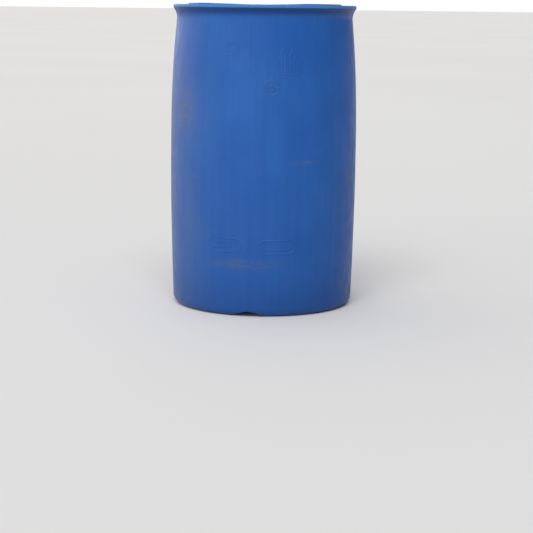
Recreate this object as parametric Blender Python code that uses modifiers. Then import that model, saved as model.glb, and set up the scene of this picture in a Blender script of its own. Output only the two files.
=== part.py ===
"""A tight-head polyethylene drum of about 220 litres, closed by two screw bungs.

The drum stands on its base at z = 0 with its axis on Z, and its front looks along -Y. Lengths are in metres.
The body is one hollow blow moulding: a barrel-shaped wall, a rolled base, a flared lip at the top and a head
with a slightly dished plateau between two recesses. Each recess holds a threaded neck insert that is welded
into the head, and each insert takes a plug with a gasket under its flange. The vent plug has a small reducer
plug in its middle, with a gasket of its own. All three plugs are right-handed screws.
"""

import math
from dataclasses import dataclass

import bmesh
import bpy
from mathutils import Matrix, Vector

# The body's outer sizes
PLATEAU_TOP_Z = 0.935
LIP_TOP_Z = 0.931
BELLY_RADIUS = 0.2905
BELLY_Z = 0.45
LIP_RADIUS = 0.2836
NECK_RADIUS = 0.2722
NECK_Z = 0.890
CHIME_RADIUS = 0.025
WALL = 0.004

# How far, and how sharply, the wall draws in above and below the belly
UPPER_POWER = 2.5
LOWER_POWER = 2.0
LOWER_DRAW_IN = 0.0082

# The flared lip
FLARE_RADIUS = 0.050
LIP_NOSE_RADIUS = 0.004
LIP_BAND = 0.0078
LIP_INNER_RADIUS = 0.2665

# The head inside the lip
GUTTER_Z = 0.917
GUTTER_OUTER = 0.260
GUTTER_INNER = 0.248
PLATEAU_FLAT_INNER = 0.212
PLATEAU_FLAT_OUTER = 0.233
PLATEAU_EDGE_RADIUS = 0.0125
PLATEAU_DISH = 0.0067
RECESS_FLOOR_Z = 0.909
RECESS_CHORD = 0.152
RECESS_CORNER = 0.014

# The underside
STANDING_RING_INNER = 0.238
UNDERSIDE_Z = 0.013
UNDERSIDE_DOME = 0.005
UNDERSIDE_RADIUS = 0.222
NOTCH_HEIGHT = 0.014
NOTCH_HALF_WIDTH = 0.0425
NOTCH_INNER = 0.207

# The mould's parting plane, turned from the front about Z: the recesses, necks and base notches lie on it
PARTING_ANGLE = math.radians(-8.6)
NECK_CENTRE = 0.205

# Facets round the body, round the large closures and round the reducer
WALL_RINGS = 12
ROUND_STEPS = 54
CLOSURE_STEPS = 28
REDUCER_STEPS = 24

# Closures: a gap stands between pieces that touch when the plug is done up
GAP = 0.00035
HOLE_GAP = 0.0005
INSERT_TOP_Z = 0.917
INSERT_BOTTOM_Z = 0.895
COLLAR_THICKNESS = 0.005
COLLAR_OVERHANG = 0.008
GASKET_THICKNESS = 0.0024
FLANGE_THICKNESS = 0.006
PLUG_BOTTOM_Z = 0.8985
PLUG_FLOOR = 0.005
EDGE = 0.0012

# How deep a thread tooth is sunk into the wall that carries it
THREAD_SINK = 0.0004
# Share of a facet that a ridge is turned by, so that its corners meet the wall's facets and not their edges
RIDGE_TURN = 0.4



@dataclass(frozen=True)
class Thread:
    """A right-handed screw thread. Its tooth's half widths at root and crest are shares of the pitch."""

    major_radius: float
    depth: float
    pitch: float
    clearance: float
    turns: float
    root_share: float
    crest_share: float
    steps: int

    @property
    def minor_radius(self):
        return self.major_radius - self.depth


@dataclass(frozen=True)
class Bung:
    """One of the two large closures, and where it stands round the drum."""

    name: str
    angle: float
    thread: Thread
    insert_wall: float
    socket_radius: float
    lugs: int


FILLER = Bung(
    name="filler",
    angle=PARTING_ANGLE,
    thread=Thread(0.0277, 0.0014, 0.004, 0.0005, 3.0, 0.32, 0.12, CLOSURE_STEPS),
    insert_wall=0.0052,
    socket_radius=0.0220,
    lugs=4,
)
VENT = Bung(
    name="vent",
    angle=PARTING_ANGLE + math.pi,
    thread=Thread(0.0296, 0.0012, 0.002309, 0.0005, 3.5, 0.28, 0.08, CLOSURE_STEPS),
    insert_wall=0.0052,
    socket_radius=0.0240,
    lugs=6,
)
REDUCER_THREAD = Thread(0.0131, 0.0010, 0.001814, 0.00045, 3.0, 0.28, 0.08, REDUCER_STEPS)
REDUCER_BOSS_WALL = 0.0035
REDUCER_BOSS_TOP_Z = 0.917
REDUCER_FLANGE_RADIUS = 0.0163
REDUCER_FLANGE_THICKNESS = 0.0035
REDUCER_BOTTOM_Z = 0.905
REDUCER_SOCKET = 0.0115
REDUCER_GASKET_THICKNESS = 0.0018
REDUCER_SOCKET_FLOOR_Z = 0.9085
LUG_WIDTH = 0.006
LUG_LENGTH = 0.006
LUG_TOP_Z = 0.922
LUG_SINK = 0.001

# Edges that turn by more than this stay sharp in the shading
SHARP_ANGLE = math.radians(35)

COLOURS = {
    "drum_blue": ((0.045, 0.13, 0.40), 0.42),
    "closure_blue": ((0.035, 0.10, 0.33), 0.40),
    "closure_white": ((0.62, 0.62, 0.58), 0.45),
    "seal_rubber": ((0.015, 0.015, 0.016), 0.75),
}


def clear_scene():
    """Removes every object that the scene starts with."""
    for obj in list(bpy.data.objects):
        bpy.data.objects.remove(obj)


def new_collection(name, in_render=True):
    """Makes a collection under the scene's own."""
    collection = bpy.data.collections.new(name)
    bpy.context.scene.collection.children.link(collection)
    collection.hide_render = not in_render
    return collection


def material(name):
    """The Principled material of that name, made the first time it is asked for."""
    if name in bpy.data.materials:
        return bpy.data.materials[name]
    colour, roughness = COLOURS[name]
    made = bpy.data.materials.new(name)
    made.use_nodes = True
    shader = made.node_tree.nodes["Principled BSDF"]
    shader.inputs["Base Color"].default_value = (*colour, 1.0)
    shader.inputs["Roughness"].default_value = roughness
    shader.inputs["Metallic"].default_value = 0.0
    return made


def add_mesh(name, bm, collection, finish=None):
    """Turns a bmesh into an object in that collection."""
    mesh = bpy.data.meshes.new(name)
    bm.to_mesh(mesh)
    bm.free()
    obj = bpy.data.objects.new(name, mesh)
    collection.objects.link(obj)
    if finish:
        mesh.materials.append(material(finish))
    else:
        obj.display_type = "WIRE"
        obj.hide_render = True
    return obj


def turned(name, profile, collection, finish=None, steps=ROUND_STEPS):
    """A solid turned about Z. Its profile runs from the axis, or a bore's top, down the outer side."""
    bm = bmesh.new()
    points = [bm.verts.new((radius, 0, z)) for radius, z in profile]
    for a, b in zip(points, points[1:]):
        bm.edges.new((a, b))
    if profile[0][0] > 0:
        bm.edges.new((points[-1], points[0]))
    obj = add_mesh(name, bm, collection, finish)
    screw = obj.modifiers.new("turn", "SCREW")
    screw.steps = screw.render_steps = steps
    screw.use_merge_vertices = True
    screw.merge_threshold = 1e-5
    return obj


def boolean(obj, tool, operation="DIFFERENCE"):
    """Cuts obj by a tool, or joins the tool to it."""
    modifier = obj.modifiers.new(f"{operation.lower()}_{tool.name}", "BOOLEAN")
    modifier.operation = operation
    modifier.object = tool
    modifier.solver = "EXACT"


def arc(centre, radius, start, end, count):
    """Points (r, z) along an arc in the profile's plane, angles in degrees from +r towards +z."""
    angles = (math.radians(start + (end - start) * i / (count - 1)) for i in range(count))
    return [(centre[0] + radius * math.cos(a), centre[1] + radius * math.sin(a)) for a in angles]


def wall_radius(z):
    """Outer radius of the barrel between the base and the neck."""
    if z > BELLY_Z:
        share = (z - BELLY_Z) / (NECK_Z - BELLY_Z)
        return BELLY_RADIUS - (BELLY_RADIUS - NECK_RADIUS) * share**UPPER_POWER
    share = (BELLY_Z - z) / (BELLY_Z - CHIME_RADIUS)
    return BELLY_RADIUS - LOWER_DRAW_IN * share**LOWER_POWER


def plateau_profile(inset):
    """The head's dished plateau, from the axis to its rounded edge, lowered by the inset."""
    dish = [(PLATEAU_FLAT_INNER * share, PLATEAU_DISH * (share**2 - 1)) for share in (0, 0.3, 0.6, 0.8, 1)]
    top = [(radius, PLATEAU_TOP_Z - inset + depth) for radius, depth in dish]
    edge_radius = PLATEAU_EDGE_RADIUS - inset
    centre = (PLATEAU_FLAT_OUTER, PLATEAU_TOP_Z - inset - edge_radius)
    return top + arc(centre, edge_radius, 90, 10, 5)


def wall_profile(inset):
    """The barrel from just under the neck to the top of the rolled base."""
    heights = [NECK_Z + (CHIME_RADIUS - NECK_Z) * i / WALL_RINGS for i in range(1, WALL_RINGS + 1)]
    return [(wall_radius(z) - inset, z) for z in heights]


def base_profile(inset):
    """The rolled base, the standing ring and the raised underside, from the wall in to the axis."""
    centre = (wall_radius(CHIME_RADIUS) - CHIME_RADIUS, CHIME_RADIUS)
    rolled = arc(centre, CHIME_RADIUS - inset, 0, -90, 7)[1:]
    slope = [
        (STANDING_RING_INNER - inset / 2, inset),
        (STANDING_RING_INNER - 0.006 - inset / 2, 0.3 * UNDERSIDE_Z + inset),
        (UNDERSIDE_RADIUS, UNDERSIDE_Z + inset),
    ]
    dome = [(UNDERSIDE_RADIUS / 2, UNDERSIDE_Z + 0.75 * UNDERSIDE_DOME + inset)]
    return rolled + slope + dome + [(0, UNDERSIDE_Z + UNDERSIDE_DOME + inset)]


def outer_profile():
    """The body's outside, from the middle of the head round the lip to the middle of the underside."""
    gutter = [
        (GUTTER_INNER, GUTTER_Z),
        (GUTTER_OUTER, GUTTER_Z),
        (LIP_INNER_RADIUS - 0.0025, LIP_TOP_Z - 0.002),
        (LIP_INNER_RADIUS, LIP_TOP_Z),
    ]
    nose_centre = (LIP_RADIUS - LIP_NOSE_RADIUS, LIP_TOP_Z - LIP_NOSE_RADIUS)
    nose = arc(nose_centre, LIP_NOSE_RADIUS, 90, 0, 4) + [(LIP_RADIUS, LIP_TOP_Z - LIP_BAND)]
    flare_centre = (NECK_RADIUS + FLARE_RADIUS, NECK_Z)
    flare = arc(flare_centre, FLARE_RADIUS, 142, 180, 6)
    return plateau_profile(0) + gutter + nose + flare + wall_profile(0) + base_profile(0)


def inner_profile():
    """The liquid space inside the walls, from the middle of its ceiling to the middle of its floor."""
    ceiling_z = GUTTER_Z - WALL
    inner_neck = NECK_RADIUS - WALL
    fillet = arc((inner_neck - 0.012, ceiling_z - 0.012), 0.012, 90, 0, 4)
    top = plateau_profile(WALL)[:-1] + [(GUTTER_INNER - WALL, ceiling_z)] + fillet
    return top + [(inner_neck, NECK_Z)] + wall_profile(WALL) + base_profile(WALL)


def recess_tool(name, angle, inset, tools):
    """The D-shaped recess that a neck stands in, grown by the inset: the part of a disc beyond a chord."""
    low, high = RECESS_FLOOR_Z - inset, LIP_TOP_Z + 0.03
    radius, chord = GUTTER_OUTER + inset, RECESS_CHORD - inset
    far = radius + 0.05
    size = Matrix.Diagonal((2 * far, far - chord, high - low, 1))
    place = Matrix.Rotation(angle, 4, "Z") @ Matrix.Translation((0, -(chord + far) / 2, (high + low) / 2))
    bm = bmesh.new()
    bmesh.ops.create_cube(bm, size=1, matrix=place @ size)
    tool = add_mesh(name, bm, tools)
    disc_profile = [(0, high + 0.01), (radius, high + 0.01), (radius, low - 0.01), (0, low - 0.01)]
    boolean(tool, turned(f"{name}_disc", disc_profile, tools), "INTERSECT")
    bevel = tool.modifiers.new("corners", "BEVEL")
    bevel.width = RECESS_CORNER + inset
    bevel.segments = 4
    bevel.limit_method = "ANGLE"
    bevel.angle_limit = math.radians(40)
    return tool


def notch_tool(name, angle, inset, tools):
    """The tent-shaped notch under the base, grown by the inset: a square bar on its edge, flattened."""
    height = NOTCH_HEIGHT + inset
    half_width = NOTCH_HALF_WIDTH + 2 * inset
    inner, outer = NOTCH_INNER - inset, BELLY_RADIUS + 0.03
    on_edge = Matrix.Rotation(math.radians(45), 4, "Y")
    flatten = Matrix.Diagonal((half_width * math.sqrt(2), outer - inner, height * math.sqrt(2), 1))
    place = Matrix.Rotation(angle, 4, "Z") @ Matrix.Translation((0, -(inner + outer) / 2, 0))
    bm = bmesh.new()
    bmesh.ops.create_cube(bm, size=1, matrix=place @ flatten @ on_edge)
    return add_mesh(name, bm, tools)


def cylinder_tool(name, radius, low, high, place, tools, steps=CLOSURE_STEPS):
    """A plain round cutter between two heights, centred on a place."""
    bm = bmesh.new()
    centre = Matrix.Translation((place.x, place.y, (low + high) / 2))
    bmesh.ops.create_cone(
        bm, cap_ends=True, segments=steps, radius1=radius, radius2=radius, depth=high - low, matrix=centre
    )
    return add_mesh(name, bm, tools)


def neck_place(angle):
    """The centre of a neck, as seen from above."""
    return Matrix.Rotation(angle, 3, "Z") @ Vector((0, -NECK_CENTRE, 0))


def insert_radius(bung):
    """Outer radius of the neck insert."""
    return bung.thread.major_radius + bung.thread.clearance + bung.insert_wall


def drum_body(parts, tools):
    """The blow-moulded body: its outer form less the recesses, the notches and the liquid space."""
    body = turned("drum_body", outer_profile(), parts, "drum_blue")
    space = turned("liquid_space", inner_profile(), tools)
    for bung in (FILLER, VENT):
        boolean(body, recess_tool(f"{bung.name}_recess", bung.angle, 0, tools))
        boolean(body, notch_tool(f"{bung.name}_notch", bung.angle, 0, tools))
        boolean(space, recess_tool(f"{bung.name}_recess_inside", bung.angle, WALL, tools))
        boolean(space, notch_tool(f"{bung.name}_notch_inside", bung.angle, WALL, tools))
        hole_radius = insert_radius(bung) + HOLE_GAP
        hole = cylinder_tool(f"{bung.name}_hole", hole_radius, 0.88, 0.95, neck_place(bung.angle), tools)
        boolean(space, hole, "UNION")
    boolean(body, space)
    return body


def helix_ridge(name, thread, top_z, inward, place, tools):
    """A thread's tooth, wound down from top_z: outward for a plug, inward and half a pitch lower for a neck."""
    root, crest = thread.minor_radius, thread.major_radius
    if inward:
        root, crest = crest + thread.clearance, root + thread.clearance
    half_root, half_crest = thread.root_share * thread.pitch, thread.crest_share * thread.pitch
    sink = math.copysign(THREAD_SINK, crest - root)
    half_base = half_root + (half_root - half_crest) * THREAD_SINK / thread.depth
    base = root - sink
    profile = [(base, half_base), (crest, half_crest), (crest, -half_crest), (base, -half_base)]
    offset = thread.pitch / 2 if inward else 0
    bm = bmesh.new()
    face = bm.faces.new([bm.verts.new((radius, 0, z)) for radius, z in profile])
    count = round(thread.turns * thread.steps)
    bmesh.ops.spin(
        bm,
        geom=[*bm.verts, *bm.edges, face],
        cent=(0, 0, 0),
        axis=(0, 0, 1),
        angle=-2 * math.pi * count / thread.steps,
        steps=count,
        dvec=(0, 0, -thread.pitch / thread.steps),
    )
    bmesh.ops.recalc_face_normals(bm, faces=bm.faces)
    turn = Matrix.Rotation(RIDGE_TURN * 2 * math.pi / thread.steps, 4, "Z")
    bm.transform(Matrix.Translation((place.x, place.y, top_z - offset)) @ turn)
    return add_mesh(name, bm, tools)


def place_at(obj, place):
    """Stands an object that was turned about Z at a place on the head."""
    obj.location = (place.x, place.y, 0)


def neck_insert(bung, parts, tools):
    """A threaded bush welded into the head, with a collar under it."""
    thread = bung.thread
    outer = insert_radius(bung)
    bore = thread.major_radius + thread.clearance
    collar_top = RECESS_FLOOR_Z - WALL - GAP
    collar = outer + COLLAR_OVERHANG
    profile = [
        (bore, INSERT_TOP_Z),
        (outer - EDGE, INSERT_TOP_Z),
        (outer, INSERT_TOP_Z - EDGE),
        (outer, collar_top),
        (collar, collar_top),
        (collar, collar_top - COLLAR_THICKNESS),
        (outer, collar_top - COLLAR_THICKNESS),
        (outer, INSERT_BOTTOM_Z),
        (bore, INSERT_BOTTOM_Z),
    ]
    insert = turned(f"{bung.name}_neck_insert", profile, parts, "drum_blue", CLOSURE_STEPS)
    place = neck_place(bung.angle)
    place_at(insert, place)
    ridge = helix_ridge(f"{bung.name}_neck_thread", thread, thread_top_z(thread), True, place, tools)
    boolean(insert, ridge, "UNION")
    return insert


def flange_bottom_z():
    """Underside of a large plug's flange, a gasket's thickness above its neck."""
    return INSERT_TOP_Z + GASKET_THICKNESS + 2 * GAP


def thread_top_z(thread):
    """Height of the middle of a large plug's first tooth."""
    return INSERT_TOP_Z - thread.pitch * 0.75


def ring(name, inner, outer, low, high, place, parts):
    """A flat rubber ring."""
    profile = [(inner, high), (outer, high), (outer, low), (inner, low)]
    made = turned(name, profile, parts, "seal_rubber", CLOSURE_STEPS)
    place_at(made, place)
    return made


def lugs_tool(bung, place, floor_z, tools):
    """The ribs inside a plug's socket that the bung wrench turns, as separate blocks."""
    bm = bmesh.new()
    for i in range(bung.lugs):
        turn = Matrix.Rotation(bung.angle + 2 * math.pi * i / bung.lugs, 4, "Z")
        middle = Vector((0, LUG_LENGTH / 2 - LUG_SINK - bung.socket_radius, (floor_z - LUG_SINK + LUG_TOP_Z) / 2))
        size = Matrix.Diagonal((LUG_WIDTH, LUG_LENGTH + 2 * LUG_SINK, LUG_TOP_Z - floor_z + LUG_SINK, 1))
        place_matrix = Matrix.Translation((place.x, place.y, 0)) @ turn @ Matrix.Translation(middle) @ size
        bmesh.ops.create_cube(bm, size=1, matrix=place_matrix)
    return add_mesh(f"{bung.name}_plug_lugs", bm, tools)


def bung_plug(bung, parts, tools, finish, middle=None):
    """A large plug: a flanged cup, threaded outside and lugged inside, closed unless given a middle boss."""
    thread = bung.thread
    bottom_z = flange_bottom_z()
    top_z = bottom_z + FLANGE_THICKNESS
    flange = insert_radius(bung) + 0.0005
    floor_z = PLUG_BOTTOM_Z + PLUG_FLOOR
    bottom_centre = middle[0][0] if middle else 0
    profile = [
        *(middle or [(0, floor_z)]),
        (bung.socket_radius, floor_z),
        (bung.socket_radius, top_z - EDGE),
        (bung.socket_radius + EDGE, top_z),
        (flange - EDGE, top_z),
        (flange, top_z - EDGE),
        (flange, bottom_z),
        (thread.minor_radius, bottom_z),
        (thread.minor_radius, PLUG_BOTTOM_Z + EDGE),
        (thread.minor_radius - EDGE, PLUG_BOTTOM_Z),
        (bottom_centre, PLUG_BOTTOM_Z),
    ]
    plug = turned(f"{bung.name}_plug", profile, parts, finish, CLOSURE_STEPS)
    place = neck_place(bung.angle)
    place_at(plug, place)
    boolean(plug, lugs_tool(bung, place, floor_z, tools), "UNION")
    ridge = helix_ridge(f"{bung.name}_plug_thread", thread, thread_top_z(thread), False, place, tools)
    boolean(plug, ridge, "UNION")
    return plug


def bung_gasket(bung, parts):
    """The gasket between a large plug's flange and its neck."""
    low = INSERT_TOP_Z + GAP
    inner = bung.thread.major_radius + bung.thread.clearance
    outer = insert_radius(bung) - EDGE
    high = low + GASKET_THICKNESS
    return ring(f"{bung.name}_gasket", inner, outer, low, high, neck_place(bung.angle), parts)


def vent_plug(parts, tools):
    """The vent plug: as the filler's, with a threaded boss in its middle."""
    thread = REDUCER_THREAD
    plug = bung_plug(VENT, parts, tools, "closure_white", boss_profile())
    ridge = helix_ridge(
        "reducer_boss_thread", thread, reducer_thread_top_z(), True, neck_place(VENT.angle), tools
    )
    boolean(plug, ridge, "UNION")
    return plug


def boss_profile():
    """The threaded boss's bore, top and outer side, down to the plug's floor."""
    bore = REDUCER_THREAD.major_radius + REDUCER_THREAD.clearance
    outer = bore + REDUCER_BOSS_WALL
    return [
        (bore, REDUCER_BOSS_TOP_Z),
        (outer - EDGE, REDUCER_BOSS_TOP_Z),
        (outer, REDUCER_BOSS_TOP_Z - EDGE),
        (outer, PLUG_BOTTOM_Z + PLUG_FLOOR),
    ]


def reducer_thread_top_z():
    """Height of the middle of the reducer plug's first tooth."""
    return REDUCER_BOSS_TOP_Z - REDUCER_THREAD.pitch


def reducer_plug(parts, tools):
    """The small plug in the vent plug, with a square wrench socket."""
    thread = REDUCER_THREAD
    bottom_z = REDUCER_BOSS_TOP_Z + REDUCER_GASKET_THICKNESS + 2 * GAP
    top_z = bottom_z + REDUCER_FLANGE_THICKNESS
    profile = [
        (0, top_z),
        (REDUCER_FLANGE_RADIUS - EDGE, top_z),
        (REDUCER_FLANGE_RADIUS, top_z - EDGE),
        (REDUCER_FLANGE_RADIUS, bottom_z),
        (thread.minor_radius, bottom_z),
        (thread.minor_radius, REDUCER_BOTTOM_Z + EDGE),
        (thread.minor_radius - EDGE, REDUCER_BOTTOM_Z),
        (0, REDUCER_BOTTOM_Z),
    ]
    plug = turned("reducer_plug", profile, parts, "closure_blue", thread.steps)
    place = neck_place(VENT.angle)
    place_at(plug, place)
    bm = bmesh.new()
    middle_z = (REDUCER_SOCKET_FLOOR_Z + top_z) / 2 + EDGE
    size = Matrix.Diagonal((REDUCER_SOCKET, REDUCER_SOCKET, top_z - REDUCER_SOCKET_FLOOR_Z + 2 * EDGE, 1))
    turn = Matrix.Rotation(VENT.angle, 4, "Z")
    bmesh.ops.create_cube(bm, size=1, matrix=Matrix.Translation((place.x, place.y, middle_z)) @ turn @ size)
    boolean(plug, add_mesh("reducer_socket", bm, tools))
    ridge = helix_ridge("reducer_thread", thread, reducer_thread_top_z(), False, place, tools)
    boolean(plug, ridge, "UNION")
    return plug


def reducer_gasket(parts):
    """The gasket between the reducer plug's flange and its boss."""
    inner = REDUCER_THREAD.major_radius + REDUCER_THREAD.clearance
    low = REDUCER_BOSS_TOP_Z + GAP
    high = low + REDUCER_GASKET_THICKNESS
    outer = REDUCER_FLANGE_RADIUS - EDGE / 2
    return ring("reducer_gasket", inner, outer, low, high, neck_place(VENT.angle), parts)


def finish(parts, tools):
    """Makes each part's modifiers final, shades it smooth between its sharp edges and drops the cutters."""
    depsgraph = bpy.context.evaluated_depsgraph_get()
    meshes = {obj: bpy.data.meshes.new_from_object(obj.evaluated_get(depsgraph)) for obj in parts.objects}
    for obj, mesh in meshes.items():
        mesh.name = obj.name
        mesh.shade_smooth()
        mesh.set_sharp_from_angle(angle=SHARP_ANGLE)
        obj.modifiers.clear()
        obj.data = mesh
    for tool in list(tools.objects):
        bpy.data.objects.remove(tool)
    bpy.data.collections.remove(tools)


def main():
    """Builds the drum and its closures."""
    clear_scene()
    parts = new_collection("plastic_drum")
    tools = new_collection("cutters", in_render=False)
    drum_body(parts, tools)
    for bung in (FILLER, VENT):
        neck_insert(bung, parts, tools)
        bung_gasket(bung, parts)
    bung_plug(FILLER, parts, tools, "closure_blue")
    vent_plug(parts, tools)
    reducer_plug(parts, tools)
    reducer_gasket(parts)
    finish(parts, tools)


main()
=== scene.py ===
"""The visual model of a blow-moulded polyethylene drum with two screw bungs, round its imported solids."""

import logging
import math
from collections.abc import Callable, Iterable, Sequence
from dataclasses import dataclass, field
from enum import Enum

import bmesh
import bpy
from mathutils import Matrix, Vector, noise


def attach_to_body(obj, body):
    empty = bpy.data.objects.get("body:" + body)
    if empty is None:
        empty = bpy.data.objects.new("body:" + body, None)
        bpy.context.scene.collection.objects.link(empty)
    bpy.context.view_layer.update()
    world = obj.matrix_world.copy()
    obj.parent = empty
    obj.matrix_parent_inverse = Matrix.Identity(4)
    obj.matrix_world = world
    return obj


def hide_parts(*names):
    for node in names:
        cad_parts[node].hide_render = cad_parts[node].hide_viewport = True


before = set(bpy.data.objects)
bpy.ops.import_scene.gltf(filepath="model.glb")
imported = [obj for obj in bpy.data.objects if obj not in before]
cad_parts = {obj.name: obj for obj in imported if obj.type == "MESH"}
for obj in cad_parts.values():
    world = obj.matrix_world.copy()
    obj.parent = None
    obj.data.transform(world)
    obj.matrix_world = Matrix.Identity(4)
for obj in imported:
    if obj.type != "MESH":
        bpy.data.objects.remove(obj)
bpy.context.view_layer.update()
LOG = logging.getLogger("drum")

MM = 0.001
TOUCH = 1e-6
Station = tuple[float, float]
Stroke = Callable[[float, float], float]


def smooth_step(value: float, start: float, end: float) -> float:
    """Eases from 0 at start to 1 at end, flat at both.

    Args:
        value: Where on the way to look.
        start: The value at which the step starts.
        end: The value at which it is complete; it may be below start.

    Returns:
        The eased share.
    """
    share = min(max((value - start) / (end - start), 0.0), 1.0)
    return share**3 * (share * (6 * share - 15) + 10)


def smooth_min(a: float, b: float, blend: float) -> float:
    """The lower of two heights, rounded over where they meet.

    Args:
        a: One height.
        b: The other height.
        blend: How far apart they may be and still be rounded.

    Returns:
        The rounded lower height.
    """
    share = max(blend - abs(a - b), 0.0) / blend
    return min(a, b) - share * share * blend / 4


def bell(value: float, width: float) -> float:
    """A soft bump of height 1 at 0, about as wide as twice the width."""
    return math.exp(-((value / width) ** 2))


def arc(centre: Station, radius: float, start: float, end: float, count: int) -> list[Station]:
    """Points of a profile along an arc.

    Args:
        centre: The arc's centre as (r, z).
        radius: Its radius.
        start: First angle in degrees, from +r towards +z.
        end: Last angle in degrees.
        count: How many points.

    Returns:
        The points as (r, z).
    """
    angles = [math.radians(start + (end - start) * i / (count - 1)) for i in range(count)]
    return [(centre[0] + radius * math.cos(a), centre[1] + radius * math.sin(a)) for a in angles]


def line(start: Station, end: Station, count: int) -> list[Station]:
    """Points of a profile along a straight line, both ends among them.

    Args:
        start: First point as (r, z).
        end: Last point as (r, z).
        count: How many points.

    Returns:
        The points as (r, z).
    """
    shares = [i / (count - 1) for i in range(count)]
    return [(start[0] + (end[0] - start[0]) * s, start[1] + (end[1] - start[1]) * s) for s in shares]


@dataclass(frozen=True)
class Lathe:
    """A surface swept round an axis, whose points a function may then move in and out.

    Stations are listed from the top or the axis down the outer side, so that faces look outward. Cells are
    split finer wherever levels asks for it, and a cell's edges take in the points of finer neighbours, so
    that the surface has no cracks.
    """

    stations: Sequence[Station]
    columns: int
    fine: int = 1
    first_azimuth: float = 0.0
    closed: bool = False

    def build(
        self,
        bm: bmesh.types.BMesh,
        place: Callable[[float, float, float], Vector],
        levels: Callable[[float, float, float], tuple[int, int]] | None = None,
        keep: Callable[[float, float, float], bool] | None = None,
    ) -> None:
        """Adds the surface to a mesh.

        Args:
            bm: The mesh to add it to.
            place: Turns (azimuth, r, z) on the plain surface into the final point.
            levels: Into how many columns and rows the cell round (azimuth, r, z) is split.
            keep: Says whether the cell round (azimuth, r, z) is part of the surface at all.
        """
        around = self.columns * self.fine
        rows = (len(self.stations) - (0 if self.closed else 1)) // self.fine
        down = len(self.stations)
        cells = []
        for i in range(self.columns):
            for j in range(rows):
                middle = self._at(i * self.fine + self.fine / 2, j * self.fine + self.fine // 2)
                split = levels(*middle) if levels else (1, 1)
                cells += self._split(i, j, split)
        if keep:
            middles = [self._at((a + c) / 2, (b + d) // 2) for a, b, c, d in cells]
            cells = [cell for cell, middle in zip(cells, middles) if keep(*middle)]
        used = {(u % around, v % down) for a, b, c, d in cells for u in (a, c) for v in (b, d)}
        points: dict[tuple[int, int], bmesh.types.BMVert] = {}
        for left, top, right, bottom in cells:
            border = [(u, top) for u in range(left, right)]
            border += [(right, v) for v in range(top, bottom)]
            border += [(u, bottom) for u in range(right, left, -1)]
            border += [(left, v) for v in range(bottom, top, -1)]
            corners: list[bmesh.types.BMVert] = []
            for u, v in border:
                key = (u % around, v % down)
                if key not in used:
                    continue
                if self.stations[key[1]][0] == 0:
                    key = (0, key[1])
                if key not in points:
                    points[key] = bm.verts.new(place(*self._at(*key)))
                if points[key] not in corners:
                    corners.append(points[key])
            if len(corners) > 2:
                bm.faces.new(reversed(corners))

    def _at(self, u: float, v: int) -> tuple[float, float, float]:
        """The (azimuth, r, z) of the plain surface at column u and row v of the finest division."""
        azimuth = self.first_azimuth + 2 * math.pi * u / (self.columns * self.fine)
        return azimuth, *self.stations[v % len(self.stations)]

    def _split(self, i: int, j: int, split: tuple[int, int]) -> Iterable[tuple[int, int, int, int]]:
        """The (left, top, right, bottom) of each part of a cell.

        Args:
            i: The cell's column.
            j: The cell's row.
            split: How many parts across and down.

        Returns:
            The parts, in units of the finest division.
        """
        wide, tall = self.fine // split[0], self.fine // split[1]
        for a in range(split[0]):
            for b in range(split[1]):
                left, top = i * self.fine + a * wide, j * self.fine + b * tall
                yield left, top, left + wide, top + tall


def round_point(azimuth: float, radius: float, z: float, centre: Vector | None = None) -> Vector:
    """A point at an azimuth from the front, which is -Y, turning towards +X.

    Args:
        azimuth: In radians.
        radius: Distance from the axis.
        z: Height.
        centre: Where the axis stands, the drum's own if left out.

    Returns:
        The point.
    """
    centre = centre or Vector((0, 0, 0))
    return Vector((centre.x + radius * math.sin(azimuth), centre.y - radius * math.cos(azimuth), z))


def densify(path: Sequence[Station], fine: int) -> list[Station]:
    """Puts fine - 1 points between each two of a path, on a smooth curve through them.

    Args:
        path: The coarse points.
        fine: Into how many parts each step is divided.

    Returns:
        The fine points.
    """
    dense: list[Station] = []
    for i in range(len(path) - 1):
        before, a, b, after = path[max(i - 1, 0)], path[i], path[i + 1], path[min(i + 2, len(path) - 1)]
        for k in range(fine):
            t = k / fine
            dense.append(tuple(_spline(before[n], a[n], b[n], after[n], t) for n in (0, 1)))
    return [*dense, path[-1]]


def _spline(before: float, a: float, b: float, after: float, t: float) -> float:
    """A Catmull-Rom curve's value between a and b, at share t."""
    bend = 2 * before - 5 * a + 4 * b - after
    return a + 0.5 * t * (b - before + t * (bend + t * (3 * (a - b) + after - before)))


def segment(ax: float, ay: float, bx: float, by: float) -> Stroke:
    """The distance to a straight stroke.

    Args:
        ax: First end, across.
        ay: First end, up.
        bx: Second end, across.
        by: Second end, up.

    Returns:
        A function of (across, up), in millimetres as the arguments are.
    """
    dx, dy = bx - ax, by - ay
    length = dx * dx + dy * dy

    def distance(x: float, y: float) -> float:
        """Distance to the stroke's middle line."""
        share = min(max(((x - ax) * dx + (y - ay) * dy) / length, 0.0), 1.0)
        return math.hypot(x - ax - share * dx, y - ay - share * dy)

    return distance


def ring(cx: float, cy: float, radius: float) -> Stroke:
    """The distance to a round stroke, as segment gives it for a straight one."""
    return lambda x, y: abs(math.hypot(x - cx, y - cy) - radius)


def outline(*corners: tuple[float, float]) -> list[Stroke]:
    """The strokes that join the corners of a closed figure."""
    return [segment(*a, *b) for a, b in zip(corners, (*corners[1:], corners[0]))]


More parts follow.
